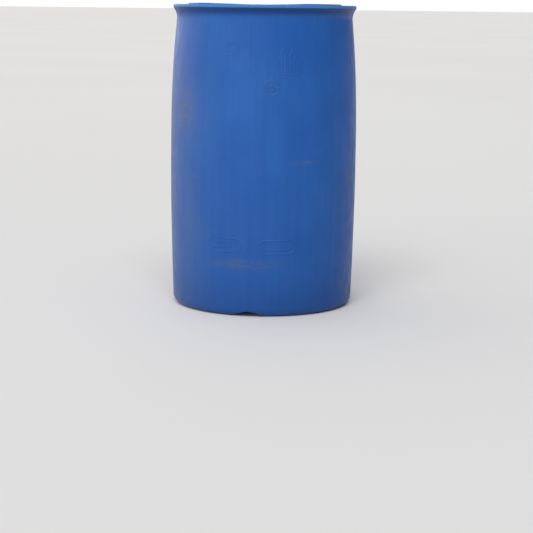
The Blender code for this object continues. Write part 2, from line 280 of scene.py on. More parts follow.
@dataclass(frozen=True)
class Relief:
    """A figure of raised strokes moulded into the drum's wall, in millimetres round its own middle."""

    azimuth: float
    z: float
    half_width: float
    half_height: float
    strokes: tuple[Stroke, ...]
    stroke_width: float = 2.6
    height: float = 0.9
    half_slope: float = 0.8
    margin: float = 9.0

    def offset(self, azimuth: float, radius: float, z: float) -> tuple[float, float] | None:
        """Where a point of the wall is in the figure's own plane.

        Args:
            azimuth: The point's azimuth in radians.
            radius: The wall's radius there, in metres.
            z: The point's height in metres.

        Returns:
            (across, up) in millimetres, or None if the point is well outside the figure.
        """
        turn = (azimuth - math.radians(self.azimuth) + math.pi) % (2 * math.pi) - math.pi
        across, up = turn * radius / MM, (z - self.z) / MM
        reach = self.stroke_width + self.margin
        if abs(across) > self.half_width + reach or abs(up) > self.half_height + reach:
            return None
        return across, up

    def distance(self, across: float, up: float) -> float:
        """Distance in millimetres to the nearest stroke's middle line."""
        return min(stroke(across, up) for stroke in self.strokes)

    def rise(self, azimuth: float, radius: float, z: float) -> float:
        """How far the figure raises the wall at a point.

        Args:
            azimuth: The point's azimuth in radians.
            radius: The wall's radius there, in metres.
            z: The point's height in metres.

        Returns:
            The rise in metres.
        """
        where = self.offset(azimuth, radius, z)
        if where is None:
            return 0.0
        edge = self.stroke_width / 2
        slope = self.half_slope
        return self.height * MM * smooth_step(self.distance(*where), edge + slope, edge - slope)


def arrow_outline(x: float) -> list[Stroke]:
    """An upright arrow's outline, whose middle line is at x.

    Args:
        x: Where its middle line is, in millimetres.

    Returns:
        Its strokes.
    """
    shaft, head, foot, neck, tip = 5, 12.5, -28, 14, 38
    half = [(shaft, foot), (shaft, neck), (head, neck)]
    left = [(x - across, up) for across, up in half]
    right = [(x + across, up) for across, up in half]
    return outline(left[0], *right, (x, tip), *reversed(left[1:]))


def two_arrows() -> Relief:
    """Two arrows side by side over a bar: this way up.

    Returns:
        The figure.
    """
    apart, half, low, high = 14, 30, -43, -36
    strokes = arrow_outline(-apart) + arrow_outline(apart)
    strokes += outline((-half, low), (half, low), (half, high), (-half, high))
    return Relief(14.6, 0.7645, half + 1, -low, tuple(strokes), height=1.15)


def dial() -> Relief:
    """A plain dial of twelve short marks round a pointer.

    Returns:
        The figure.
    """
    rim, hub, mark_inner, mark_outer, marks = 22, 7.5, 13, 16, 12
    pointer = [segment(0, -5, 0, 5), segment(0, 5, -3, 1), segment(0, 5, 3, 1)]
    strokes = [ring(0, 0, rim), ring(0, 0, hub), *pointer]
    for i in range(marks):
        x, y = math.sin(2 * math.pi * i / marks), math.cos(2 * math.pi * i / marks)
        strokes.append(segment(mark_inner * x, mark_inner * y, mark_outer * x, mark_outer * y))
    return Relief(4.6, 0.690, rim + 1, rim + 1, tuple(strokes), stroke_width=2.8, height=1.5)


def two_rings() -> Relief:
    """A plain round frame of two rings, with a bar in it.

    Returns:
        The figure.
    """
    outer, inner = 24, 15
    strokes = (ring(0, 0, outer), ring(0, 0, inner), segment(-12, 16, 10, 19), segment(-9, -4, 9, -4))
    return Relief(-19.9, 0.7985, outer + 1, outer + 1, strokes)


def small_lozenge() -> Relief:
    """A small upright lozenge.

    Returns:
        The figure.
    """
    half = 8
    strokes = outline((-half, 0), (0, -half), (half, 0), (0, half))
    return Relief(-15.7, 0.564, half + 1, half + 1, tuple(strokes), stroke_width=2.0)


def small_triangle() -> Relief:
    """A small upright triangle."""
    return Relief(-19.6, 0.700, 11, 10, tuple(outline((-10, -8), (10, -8), (0, 9))), stroke_width=2.2)


def long_frame(azimuth: float, z: float, bars: Sequence[tuple[float, float, float]]) -> Relief:
    """A long frame with round ends, with plain level bars in it.

    Args:
        azimuth: Where its middle stands, in degrees from the front.
        z: Height of its middle in metres.
        bars: Each bar's two ends across and its height, in millimetres.

    Returns:
        The figure.
    """
    half, radius = 35.0, 20.5  # half the straight stretch, and the ends' radius, in millimetres

    def distance(x: float, y: float) -> float:
        """Distance to the frame's middle line."""
        return abs(math.hypot(max(abs(x) - half, 0.0), y) - radius)

    strokes = (distance, *(segment(start, up, end, up) for start, end, up in bars))
    return Relief(azimuth, z, half + radius, radius, strokes, stroke_width=3.4, height=1.3)


def level_bar(azimuth: float, z: float, half: float) -> Relief:
    """A faint level bar.

    Args:
        azimuth: Where its middle stands, in degrees from the front.
        z: Its height in metres.
        half: Half its length in millimetres.

    Returns:
        The figure.
    """
    return Relief(azimuth, z, half, 2, (segment(-half, 0, half, 0),), stroke_width=2.2, height=0.5)


@dataclass(frozen=True)
class ScrewThread:
    """A screw thread of trapezoidal teeth, whose pitch is short against its size."""

    major: float
    depth: float
    pitch: float
    clearance: float
    turns: float
    root_share: float
    crest_share: float
    start_turn: float
    fade: float = 0.08
    lead_in: float = 0.7
    run_out: float = 0.9
    rows_per_turn: int = 14

    @property
    def minor(self) -> float:
        """Radius at the foot of a plug's teeth."""
        return self.major - self.depth

    @property
    def bore(self) -> float:
        """Radius at the foot of a neck's teeth."""
        return self.major + self.clearance

    def tooth(self, azimuth: float, z: float, top_z: float) -> float:
        """The share of its full height that a tooth has at a point.

        Args:
            azimuth: The point's azimuth about the thread's axis, in radians.
            z: Its height.
            top_z: Height of the middle of the first tooth, where it starts.

        Returns:
            1 on a crest, 0 between two teeth.
        """
        # Turns are counted from +X, a quarter turn on from the front
        phase = ((azimuth / (2 * math.pi) - 0.25) - self.start_turn) % 1.0
        wound = round(phase - (z - top_z) / self.pitch) - phase
        away = abs(z - top_z + self.pitch * wound) / self.pitch
        height = min(max((self.root_share - away) / (self.root_share - self.crest_share), 0.0), 1.0)
        last = self.turns
        return height * smooth_step(wound, 0.0, self.fade) * smooth_step(wound, last, last - self.fade)

    def rows(self, top_z: float, radius: float) -> list[Station]:
        """Rows close enough to show the teeth, from above the first to below the last.

        Args:
            top_z: Height of the middle of the first tooth, where it starts.
            radius: Radius at the foot of the teeth.

        Returns:
            The rows as (r, z), from the top down.
        """
        count = math.ceil((self.turns + self.lead_in + self.run_out) * self.rows_per_turn)
        high, low = top_z + self.lead_in * self.pitch, top_z - (self.turns + self.run_out) * self.pitch
        return line((radius, high), (radius, low), count)


@dataclass(frozen=True)
class Closure:
    """What the parts of one large closure share: its place on the head, its thread and its heights."""

    name: str
    turn: float
    thread: ScrewThread
    insert_wall: float
    socket_radius: float
    lugs: int
    neck_centre: float = 0.205
    parting: float = math.radians(-8.6)
    insert_top_z: float = 0.917
    insert_bottom_z: float = 0.895
    collar_top_z: float = 0.90465
    collar_thickness: float = 0.005
    collar_overhang: float = 0.008
    gap: float = 0.00035
    gasket_thickness: float = 0.0024
    flange_thickness: float = 0.006
    plug_bottom_z: float = 0.8985
    plug_floor: float = 0.005
    lug_width: float = 0.006
    lug_length: float = 0.006
    lug_top_z: float = 0.922

    @property
    def azimuth(self) -> float:
        """Azimuth of the neck about the drum's axis, in radians."""
        return self.parting + self.turn

    @property
    def centre(self) -> Vector:
        """Where the neck's axis stands."""
        return round_point(self.azimuth, self.neck_centre, 0.0)

    @property
    def insert_radius(self) -> float:
        """Outer radius of the neck insert."""
        return self.thread.bore + self.insert_wall

    @property
    def tooth_top_z(self) -> float:
        """Height of the middle of the plug's first tooth."""
        return self.insert_top_z - 0.75 * self.thread.pitch

    @property
    def floor_z(self) -> float:
        """Height of the plug's floor inside its socket."""
        return self.plug_bottom_z + self.plug_floor


FILLER = Closure(
    name="filler",
    turn=0.0,
    thread=ScrewThread(
        major=0.0277,
        depth=0.0014,
        pitch=0.004,
        clearance=0.0005,
        turns=3.0,
        root_share=0.32,
        crest_share=0.12,
        start_turn=0.4 / 28,
    ),
    insert_wall=0.0052,
    socket_radius=0.0220,
    lugs=4,
)
VENT = Closure(
    name="vent",
    turn=math.pi,
    thread=ScrewThread(
        major=0.0296,
        depth=0.0012,
        pitch=0.002309,
        clearance=0.0005,
        turns=3.5,
        root_share=0.28,
        crest_share=0.08,
        start_turn=0.4 / 28,
    ),
    insert_wall=0.0052,
    socket_radius=0.0240,
    lugs=6,
)


@dataclass(frozen=True)
class DrumBody:
    """The blow-moulded body: barrel, flared lip, head with its two recesses, and rolled base."""

    node: str = "drum_body"
    body: str = "drum"
    slot: str = "drum_blue"
    belly_radius: float = 0.2905
    belly_z: float = 0.45
    neck_radius: float = 0.2722
    neck_z: float = 0.890
    chime_radius: float = 0.025
    lower_draw_in: float = 0.0082
    wall: float = 0.004
    lip_radius: float = 0.2836
    lip_top_z: float = 0.931
    lip_inner_radius: float = 0.2665
    lip_band: float = 0.0072
    nose_radius: float = 0.004
    flare_radius: float = 0.050
    flare_start: float = 142.0
    plateau_z: float = 0.935
    plateau_radius: float = 0.233
    plateau_dish: float = 0.0067
    dish_radius: float = 0.212
    gutter_z: float = 0.917
    gutter_inner: float = 0.2490
    gutter_outer: float = 0.2595
    recess_z: float = 0.909
    recess_rise: float = 0.032
    recess_rounding: float = 0.003
    chord_top: float = 0.148
    chord_foot: float = 0.166
    rim_foot: float = 0.2460
    rim_top: float = 0.2630
    bead_height: float = 0.0014
    bead_offset: float = 0.0006
    bead_width: float = 0.0020
    seam_height: float = 0.0007
    seam_width: float = 0.0014
    seam_off_neck: tuple[float, float] = (0.040, 0.055)
    seam_off_lip: tuple[float, float] = (0.262, 0.250)
    flash_height: float = 0.00045
    flash_width: float = 0.0011
    swell_height: float = 0.00035
    swells_per_metre: float = 7.0
    underside_z: float = 0.013
    underside_dome: float = 0.005
    underside_radius: float = 0.222
    ring_inner: float = 0.238
    ring_outer: float = 0.248
    notch_height: float = 0.0158
    notch_half_width: float = 0.058
    notch_power: float = 1.5
    notch_inset: float = 0.012
    notch_rounding: float = 0.0025
    parting: float = math.radians(-8.6)
    hidden_edge: float = 0.0026
    ceiling_z: float = 0.905
    raised_width: tuple[float, float] = (0.142, 0.122)
    raised_radius: tuple[float, float] = (0.228, 0.214)
    shoulder_radius: float = 0.012
    floor_radius: float = 0.235
    inside_heights: tuple[float, ...] = (0.030, 0.2, 0.35, 0.5, 0.65, 0.75, 0.83, 0.885)
    columns: int = 216
    inside_columns: int = 96
    barrel_rows: int = 92
    fine: int = 8
    medium: int = 4
    coarse_radius: float = 0.13
    fine_margin: float = 0.006
    neck_fine: tuple[float, float] = (0.024, 0.044)
    fine_relief: float = 6.4
    reliefs: tuple[Relief, ...] = field(
        default_factory=lambda: (
            two_arrows(),
            dial(),
            two_rings(),
            small_triangle(),
            small_lozenge(),
            long_frame(-24.0, 0.2185, ((-26, 34, 10), (-34, 20, -6))),
            long_frame(8.8, 0.2145, ((-30, 34, -8),)),
            level_bar(-11.5, 0.469, 32),
            level_bar(28.0, 0.478, 36),
        )
    )

    def wall_radius(self, z: float) -> float:
        """Outer radius of the barrel: it narrows late and fast towards the neck, and gently towards the foot.

        Args:
            z: A height on the barrel.

        Returns:
            The radius there.
        """
        if z > self.belly_z:
            share = (z - self.belly_z) / (self.neck_z - self.belly_z)
            return self.belly_radius - (self.belly_radius - self.neck_radius) * share**2.5
        share = (self.belly_z - z) / (self.belly_z - self.chime_radius)
        return self.belly_radius - self.lower_draw_in * share**2

    def profile(self) -> list[Station]:
        """The outside's coarse profile, from the head's middle round to the underside's middle.

        Returns:
            The points as (r, z).
        """
        inner = (0.140, self.plateau_z)
        head = line((0, self.plateau_z), inner, 12)[:-1]
        head += line(inner, (self.lip_inner_radius, self.lip_top_z), 27)
        nose_at = (self.lip_radius - self.nose_radius, self.lip_top_z - self.nose_radius)
        lip = line((self.lip_inner_radius, self.lip_top_z), (nose_at[0], self.lip_top_z), 5)[1:-1]
        lip += arc(nose_at, self.nose_radius, 90, 0, 6)
        lip += [(self.lip_radius, self.lip_top_z - self.lip_band)]
        flare_at = (self.neck_radius + self.flare_radius, self.neck_z)
        lip += arc(flare_at, self.flare_radius, self.flare_start, 180, 8)
        heights = line((0, self.neck_z), (0, self.chime_radius), self.barrel_rows + 1)[1:]
        barrel = [(self.wall_radius(z), z) for _, z in heights]
        chime_at = (self.wall_radius(self.chime_radius) - self.chime_radius, self.chime_radius)
        base = arc(chime_at, self.chime_radius, 0, -90, 9)[1:]
        base += line(base[-1], (self.ring_inner, 0), 4)[1:]
        base += line((self.ring_inner, 0), (self.underside_radius, self.underside_z), 5)[1:]
        dome = line((self.underside_radius, self.underside_z), (0, self.underside_z), 14)[1:]
        base += [(r, z + self.underside_dome * (1 - (r / self.underside_radius) ** 2)) for r, z in dome]
        return head + lip + barrel + base

    def in_mould(self, azimuth: float, radius: float) -> tuple[float, float]:
        """A point's (distance from the parting plane, distance along it), both signed."""
        turn = azimuth - self.parting
        return radius * math.sin(turn), -radius * math.cos(turn)

    def from_neck(self, azimuth: float, radius: float) -> tuple[float, Closure]:
        """A point's distance from the nearer neck's axis, as seen from above, and that neck's closure."""
        across, along = self.in_mould(azimuth, radius)
        return math.hypot(across, abs(along) - FILLER.neck_centre), FILLER if along < 0 else VENT

    def seam(self, across: float) -> float:
        """Height of the pinched seam that closes the moulding's ends, so far from the parting plane."""
        return self.seam_height * bell(across, self.seam_width)

    def on_head(self, radius: float, z: float) -> bool:
        """Whether a point of the plain outside is on the head, inside the lip."""
        return radius <= self.lip_inner_radius and z > self.recess_z

    def head_height(self, azimuth: float, radius: float) -> float:
        """Height of the head, inside the lip.

        Args:
            azimuth: The point's azimuth in radians.
            radius: Its distance from the drum's axis.

        Returns:
            The height in metres.
        """
        across, along = self.in_mould(azimuth, radius)
        dish = self.plateau_dish * max(1 - (radius / self.dish_radius) ** 2, 0.0)
        edge = smooth_step(radius, self.plateau_radius, self.gutter_inner)
        height = (self.plateau_z - dish) * (1 - edge) + self.gutter_z * edge
        lip = smooth_step(radius, self.gutter_outer, self.lip_inner_radius)
        height += (self.lip_top_z - self.gutter_z) * lip
        chord = smooth_step(abs(along), self.chord_foot, self.chord_top)
        rim = smooth_step(radius, self.rim_foot, self.rim_top)
        recess = self.recess_z + self.recess_rise * (1 - (1 - chord) * (1 - rim))
        height = smooth_min(height, recess, self.recess_rounding)
        # A bead of melt squeezed out round each neck insert, and the seam, which stops short of necks and lip
        distance, closure = self.from_neck(azimuth, radius)
        bead = self.bead_height * bell(distance - closure.insert_radius - self.bead_offset, self.bead_width)
        seamed = smooth_step(distance, *self.seam_off_neck) * smooth_step(radius, *self.seam_off_lip)
        return height + bead + seamed * self.seam(across)

    def base_height(self, azimuth: float, radius: float, z: float) -> float:
        """Height of the base, lifted where the notch crosses it and along the pinched seam.

        Args:
            azimuth: The point's azimuth in radians.
            radius: Its distance from the drum's axis.
            z: Its height on the plain turned surface.

        Returns:
            The height in metres.
        """
        across, _ = self.in_mould(azimuth, radius)
        notch = self.notch_height * (1 - (abs(across) / self.notch_half_width) ** self.notch_power)
        if radius > self.underside_radius - self.notch_inset:
            z = -smooth_min(-z, -notch, self.notch_rounding)
        seam = self.seam(across) * smooth_step(radius, self.underside_radius, self.underside_radius - 0.02)
        return max(z, 0.0) - seam

    def place(self, azimuth: float, radius: float, z: float) -> Vector:
        """Where a point of the plain outside goes.

        Args:
            azimuth: The point's azimuth in radians.
            radius: Its distance from the drum's axis.
            z: Its height.

        Returns:
            The finished point.
        """
        if self.on_head(radius, z):
            return round_point(azimuth, radius, self.head_height(azimuth, radius))
        if z < self.chime_radius:
            return round_point(azimuth, radius, self.base_height(azimuth, radius, z))
        point = round_point(azimuth, radius, z)
        # The wall of such a moulding is never quite true: it has swells about a hand wide, 0.35 mm high
        swell = self.swell_height * noise.noise(point * self.swells_per_metre)
        swell *= smooth_step(z, self.neck_z, self.neck_z - 0.05)
        rise = sum(relief.rise(azimuth, radius, z) for relief in self.reliefs)
        flash = self.flash_height * bell(self.in_mould(azimuth, radius)[0], self.flash_width)
        return round_point(azimuth, radius + swell + rise + flash, z)

    def head_levels(self, azimuth: float, radius: float) -> tuple[int, int]:
        """How finely the head is split: most round the necks and at the recesses' walls.

        Args:
            azimuth: The point's azimuth in radians.
            radius: Its distance from the drum's axis.

        Returns:
            Parts across and down, or 1 and 1 where nothing needs more.
        """
        _, along = self.in_mould(azimuth, radius)
        if radius < self.coarse_radius:
            return 1, 1
        low, high = self.chord_top - self.fine_margin, self.chord_foot + self.fine_margin
        near_neck = self.neck_fine[0] < self.from_neck(azimuth, radius)[0] < self.neck_fine[1]
        if near_neck or low < abs(along) < high:
            return self.medium, self.medium
        if abs(along) > self.chord_top and radius > self.rim_foot - self.fine_margin:
            return 2, self.medium
        return (1, self.medium) if radius > self.plateau_radius - self.wall else (1, 1)

    def levels(self, azimuth: float, radius: float, z: float) -> tuple[int, int]:
        """How finely the surface is split at a point: most on raised figures, seams and recess walls.

        Args:
            azimuth: The point's azimuth in radians.
            radius: Its distance from the drum's axis.
            z: Its height.

        Returns:
            Parts across and down.
        """
        across, _ = self.in_mould(azimuth, radius)
        on_seam = abs(across) < math.pi * max(radius, 0.02) / self.columns
        plain = (self.fine, 1) if on_seam else (1, 1)
        if self.on_head(radius, z):
            found = self.head_levels(azimuth, radius)
            return plain if found == (1, 1) else found
        if z < self.chime_radius:
            outside = radius > self.underside_radius - 0.02
            if abs(across) < self.notch_half_width + self.fine_margin and outside:
                return self.medium, self.medium if radius > self.ring_outer else 2
            return plain
        for relief in self.reliefs:
            where = relief.offset(azimuth, radius, z)
            if where and relief.distance(*where) < self.fine_relief + relief.stroke_width / 2:
                return self.fine, self.fine
        return plain

    def keep(self, azimuth: float, radius: float, z: float) -> bool:
        """False inside the neck holes, whose edges are hidden in the inserts' walls."""
        distance, closure = self.from_neck(azimuth, radius)
        return not self.on_head(radius, z) or distance > closure.insert_radius - self.hidden_edge

    def inside_profile(self) -> list[Station]:
        """The inside's profile, from the floor's middle up to the ceiling's middle.

        Returns:
            The points as (r, z).
        """
        outside = [(r, z) for r, z in reversed(self.profile()) if z < self.chime_radius]
        floor = [(r, z + self.wall) for r, z in outside if r < self.floor_radius]
        barrel = [(self.wall_radius(z) - self.wall, z) for z in self.inside_heights]
        turn = self.shoulder_radius
        turn_in = arc((self.neck_radius - self.wall - turn, self.ceiling_z - turn), turn, 0, 90, 5)
        return floor + barrel + turn_in + line((0.250, self.ceiling_z), (0, self.ceiling_z), 22)

    def place_inside(self, azimuth: float, radius: float, z: float) -> Vector:
        """Where a point of the plain inside goes: the ceiling is raised under the head's plateau.

        Args:
            azimuth: The point's azimuth in radians.
            radius: Its distance from the drum's axis.
            z: Its height.

        Returns:
            The finished point.
        """
        if z > self.ceiling_z - TOUCH:
            _, along = self.in_mould(azimuth, radius)
            share = smooth_step(abs(along), *self.raised_width) * smooth_step(radius, *self.raised_radius)
            z += (self.head_height(azimuth, radius) - self.wall - z) * share
        return round_point(azimuth, radius, z)

    def keep_inside(self, azimuth: float, radius: float, z: float) -> bool:
        """Whether a cell of the inside stays: not over the collars of the neck inserts.

        Args:
            azimuth: The cell's azimuth in radians.
            radius: Its distance from the drum's axis.
            z: Its height.

        Returns:
            False over a collar.
        """
        distance, closure = self.from_neck(azimuth, radius)
        collar = closure.insert_radius + closure.collar_overhang
        return z < self.ceiling_z - MM or distance > collar - MM

    def build(self) -> bpy.types.Object:
        """Builds the body as one object.

        Returns:
            The object.
        """
        bm = bmesh.new()
        stations = densify(self.profile(), self.fine)
        first = self.parting - math.pi / self.columns
        Lathe(stations, self.columns, self.fine, first).build(bm, self.place, self.levels, self.keep)
        inside = Lathe(self.inside_profile(), self.inside_columns)
        inside.build(bm, self.place_inside, keep=self.keep_inside)
        return add_object("moulded_body", bm, smooth_angle=50)

    def dress(self, piece: bpy.types.Object, finish: "Finish") -> None:
        """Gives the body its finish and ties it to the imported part."""
        attach(piece, finish, self.body, self.node)


def add_object(name: str, bm: bmesh.types.BMesh, smooth_angle: float = 35.0) -> bpy.types.Object:
    """Makes an object of a mesh, shaded smooth except at its sharp edges.

    Args:
        name: The object's name.
        bm: The mesh, which is used up.
        smooth_angle: Edges that turn by more than this many degrees stay sharp.

    Returns:
        The object, in the scene.
    """
    mesh = bpy.data.meshes.new(name)
    bm.to_mesh(mesh)
    bm.free()
    mesh.shade_smooth()
    mesh.set_sharp_from_angle(angle=math.radians(smooth_angle))
    piece = bpy.data.objects.new(name, mesh)
    bpy.context.scene.collection.objects.link(piece)
    return piece


def attach(piece: bpy.types.Object, finish: "Finish", body: str, node: str) -> None:
    """Finishes a piece, makes it ride on a body and stand for a node.

    Args:
        piece: The piece.
        finish: Its finish.
        body: The body it rides on.
        node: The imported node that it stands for.
    """
    piece.data.materials.append(finish.material())
    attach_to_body(piece, body)
    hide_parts(node)


@dataclass(frozen=True)
class NeckInsert:
    """A threaded bush welded into the head, with a collar under it."""

    closure: Closure
    body: str = "drum"
    slot: str = "drum_blue"
    edge: float = 0.0011
    bore_edge: float = 0.0006
    weld_z: float = 0.9105
    columns: int = 112

    def profile(self) -> list[Station]:
        """The section, from the bore's top over the outside and back up the bore.

        Returns:
            The points as (r, z).
        """
        c = self.closure
        bore, outer, collar = c.thread.bore, c.insert_radius, c.insert_radius + c.collar_overhang
        collar_low = c.collar_top_z - c.collar_thickness
        inset = bore + self.bore_edge
        path = arc((inset, c.insert_top_z - self.bore_edge), self.bore_edge, 180, 90, 4)
        path += arc((outer - self.edge, c.insert_top_z - self.edge), self.edge, 90, 0, 6)
        path += [(outer, self.weld_z), (outer, c.collar_top_z), (collar - self.edge, c.collar_top_z)]
        path += arc((collar - self.edge, collar_low + self.edge), self.edge, 0, -90, 5)
        path += [(outer, collar_low), (outer, c.insert_bottom_z), (inset, c.insert_bottom_z)]
        return path + list(reversed(c.thread.rows(c.tooth_top_z - c.thread.pitch / 2, bore)))

    def place(self, azimuth: float, radius: float, z: float) -> Vector:
        """Where a point of the plain bush goes, with the teeth standing into the bore.

        Args:
            azimuth: The point's azimuth in radians.
            radius: Its distance from the bush's axis.
            z: Its height.

        Returns:
            The finished point.
        """
        c = self.closure
        if abs(radius - c.thread.bore) < TOUCH:
            radius -= c.thread.depth * c.thread.tooth(azimuth, z, c.tooth_top_z - c.thread.pitch / 2)
        return round_point(azimuth, radius, z, c.centre)

    def build(self) -> bpy.types.Object:
        """Builds the bush as one object.

        Returns:
            The object.
        """
        bm = bmesh.new()
        Lathe(self.profile(), self.columns, closed=True).build(bm, self.place)
        return add_object(f"{self.closure.name}_neck_bush", bm)

    def dress(self, piece: bpy.types.Object, finish: "Finish") -> None:
        """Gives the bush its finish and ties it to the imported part."""
        attach(piece, finish, self.body, f"{self.closure.name}_neck_insert")


@dataclass(frozen=True)
class SealRing:
    """A flat rubber ring with softly rounded edges."""

    name: str
    node: str
    body: str
    centre: Vector
    inner: float
    outer: float
    low: float
    high: float
    slot: str = "seal_rubber"
    rounding: float = 0.3
    columns: int = 112

    def build(self) -> bpy.types.Object:
        """Builds the ring as one object.

        Returns:
            The object.
        """
        edge = (self.high - self.low) * self.rounding
        path = arc((self.inner + edge, self.high - edge), edge, 180, 90, 4)
        path += arc((self.outer - edge, self.high - edge), edge, 90, 0, 4)
        path += arc((self.outer - edge, self.low + edge), edge, 0, -90, 4)
        path += arc((self.inner + edge, self.low + edge), edge, -90, -180, 4)
        bm = bmesh.new()
        Lathe(path, self.columns, closed=True).build(bm, lambda a, r, z: round_point(a, r, z, self.centre))
        return add_object(self.name, bm, smooth_angle=60)

    def dress(self, piece: bpy.types.Object, finish: "Finish") -> None:
        """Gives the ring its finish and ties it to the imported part."""
        attach(piece, finish, self.body, self.node)


@dataclass(frozen=True)
class ReducerPlug:
    """The small plug in the vent plug, with a square wrench socket, and the boss that it screws into."""

    thread: ScrewThread = ScrewThread(
        major=0.0131,
        depth=0.0010,
        pitch=0.001814,
        clearance=0.00045,
        turns=3.0,
        root_share=0.28,
        crest_share=0.08,
        start_turn=0.4 / 24,
    )
    closure: Closure = VENT
    body: str = "reducer_closure"
    slot: str = "closure_blue"
    boss_wall: float = 0.0035
    boss_top_z: float = 0.917
    gasket_thickness: float = 0.0018
    flange_radius: float = 0.0163
    flange_thickness: float = 0.0035
    bottom_z: float = 0.905
    socket: float = 0.0115
    socket_floor_z: float = 0.9085
    squareness: int = 14
    groove: tuple[float, ...] = (0.0094, 0.0104, 0.0134, 0.0142)
    groove_depth: float = 0.0004
    edge: float = 0.0010
    fillet: float = 0.0008
    corner: float = 0.0005
    columns: int = 96

    @property
    def flange_z(self) -> float:
        """Underside of the flange."""
        return self.boss_top_z + self.gasket_thickness + 2 * self.closure.gap

    @property
    def tooth_top_z(self) -> float:
        """Height of the middle of the first tooth."""
        return self.boss_top_z - self.thread.pitch

    def boss_profile(self) -> list[Station]:
        """The boss's bore and outer side, as the vent plug's middle, from the bore's foot to the floor.

        Returns:
            The points as (r, z).
        """
        bore, outer = self.thread.bore, self.thread.bore + self.boss_wall
        low = [(bore, self.closure.plug_bottom_z + 0.0006)]
        path = low + list(reversed(self.thread.rows(self.tooth_top_z - self.thread.pitch / 2, bore)))
        corner, fillet = self.corner, self.fillet
        path += arc((bore + corner, self.boss_top_z - corner), corner, 180, 90, 4)
        path += arc((outer - fillet, self.boss_top_z - fillet), fillet, 90, 0, 5)
        return path + arc((outer + fillet, self.closure.floor_z + fillet), fillet, 180, 270, 4)

    def profile(self) -> list[Station]:
        """The plug's section, from its socket's floor over the flange to its underside.

        Returns:
            The points as (r, z).
        """
        half, floor, top = self.socket / 2, self.socket_floor_z, self.flange_z + self.flange_thickness
        path = [(0, floor), (half * 0.5, floor), (half - self.fillet, floor)]
        path += [(half, floor + self.fillet), (half, (floor + top) / 2), (half, top - 0.0006)]
        path += [(half + 0.0004, top)]
        depths = (0, self.groove_depth, self.groove_depth, 0)
        path += [(radius, top - depth) for radius, depth in zip(self.groove, depths)]
        path += arc((self.flange_radius - self.edge, top - self.edge), self.edge, 90, 0, 5)
        path += arc((self.flange_radius - self.corner, self.flange_z + self.corner), self.corner, 0, -90, 3)
        path += [(self.thread.minor + 0.0003, self.flange_z)]
        path += self.thread.rows(self.tooth_top_z, self.thread.minor)
        low = arc((self.thread.minor - self.edge, self.bottom_z + self.edge), self.edge, 0, -90, 4)
        return path + low + [(0, self.bottom_z)]

    def place(self, azimuth: float, radius: float, z: float) -> Vector:
        """Where a point of the plain plug goes, with the square socket and the teeth.

        Args:
            azimuth: The point's azimuth in radians.
            radius: Its distance from the plug's axis.
            z: Its height.

        Returns:
            The finished point.
        """
        half, power = self.socket / 2, self.squareness
        if radius <= half + self.corner and z > self.socket_floor_z - self.edge:
            turn = azimuth - self.closure.azimuth
            radius *= (abs(math.cos(turn)) ** power + abs(math.sin(turn)) ** power) ** (-1 / power)
        if abs(radius - self.thread.minor) < TOUCH:
            radius += self.thread.depth * self.thread.tooth(azimuth, z, self.tooth_top_z)
        return round_point(azimuth, radius, z, self.closure.centre)

    def build(self) -> bpy.types.Object:
        """Builds the plug as one object.

        Returns:
            The object.
        """
        bm = bmesh.new()
        Lathe(self.profile(), self.columns, first_azimuth=self.closure.azimuth).build(bm, self.place)
        return add_object("reducer_bung", bm)

    def dress(self, piece: bpy.types.Object, finish: "Finish") -> None:
        """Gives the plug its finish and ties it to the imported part."""
        attach(piece, finish, self.body, "reducer_plug")


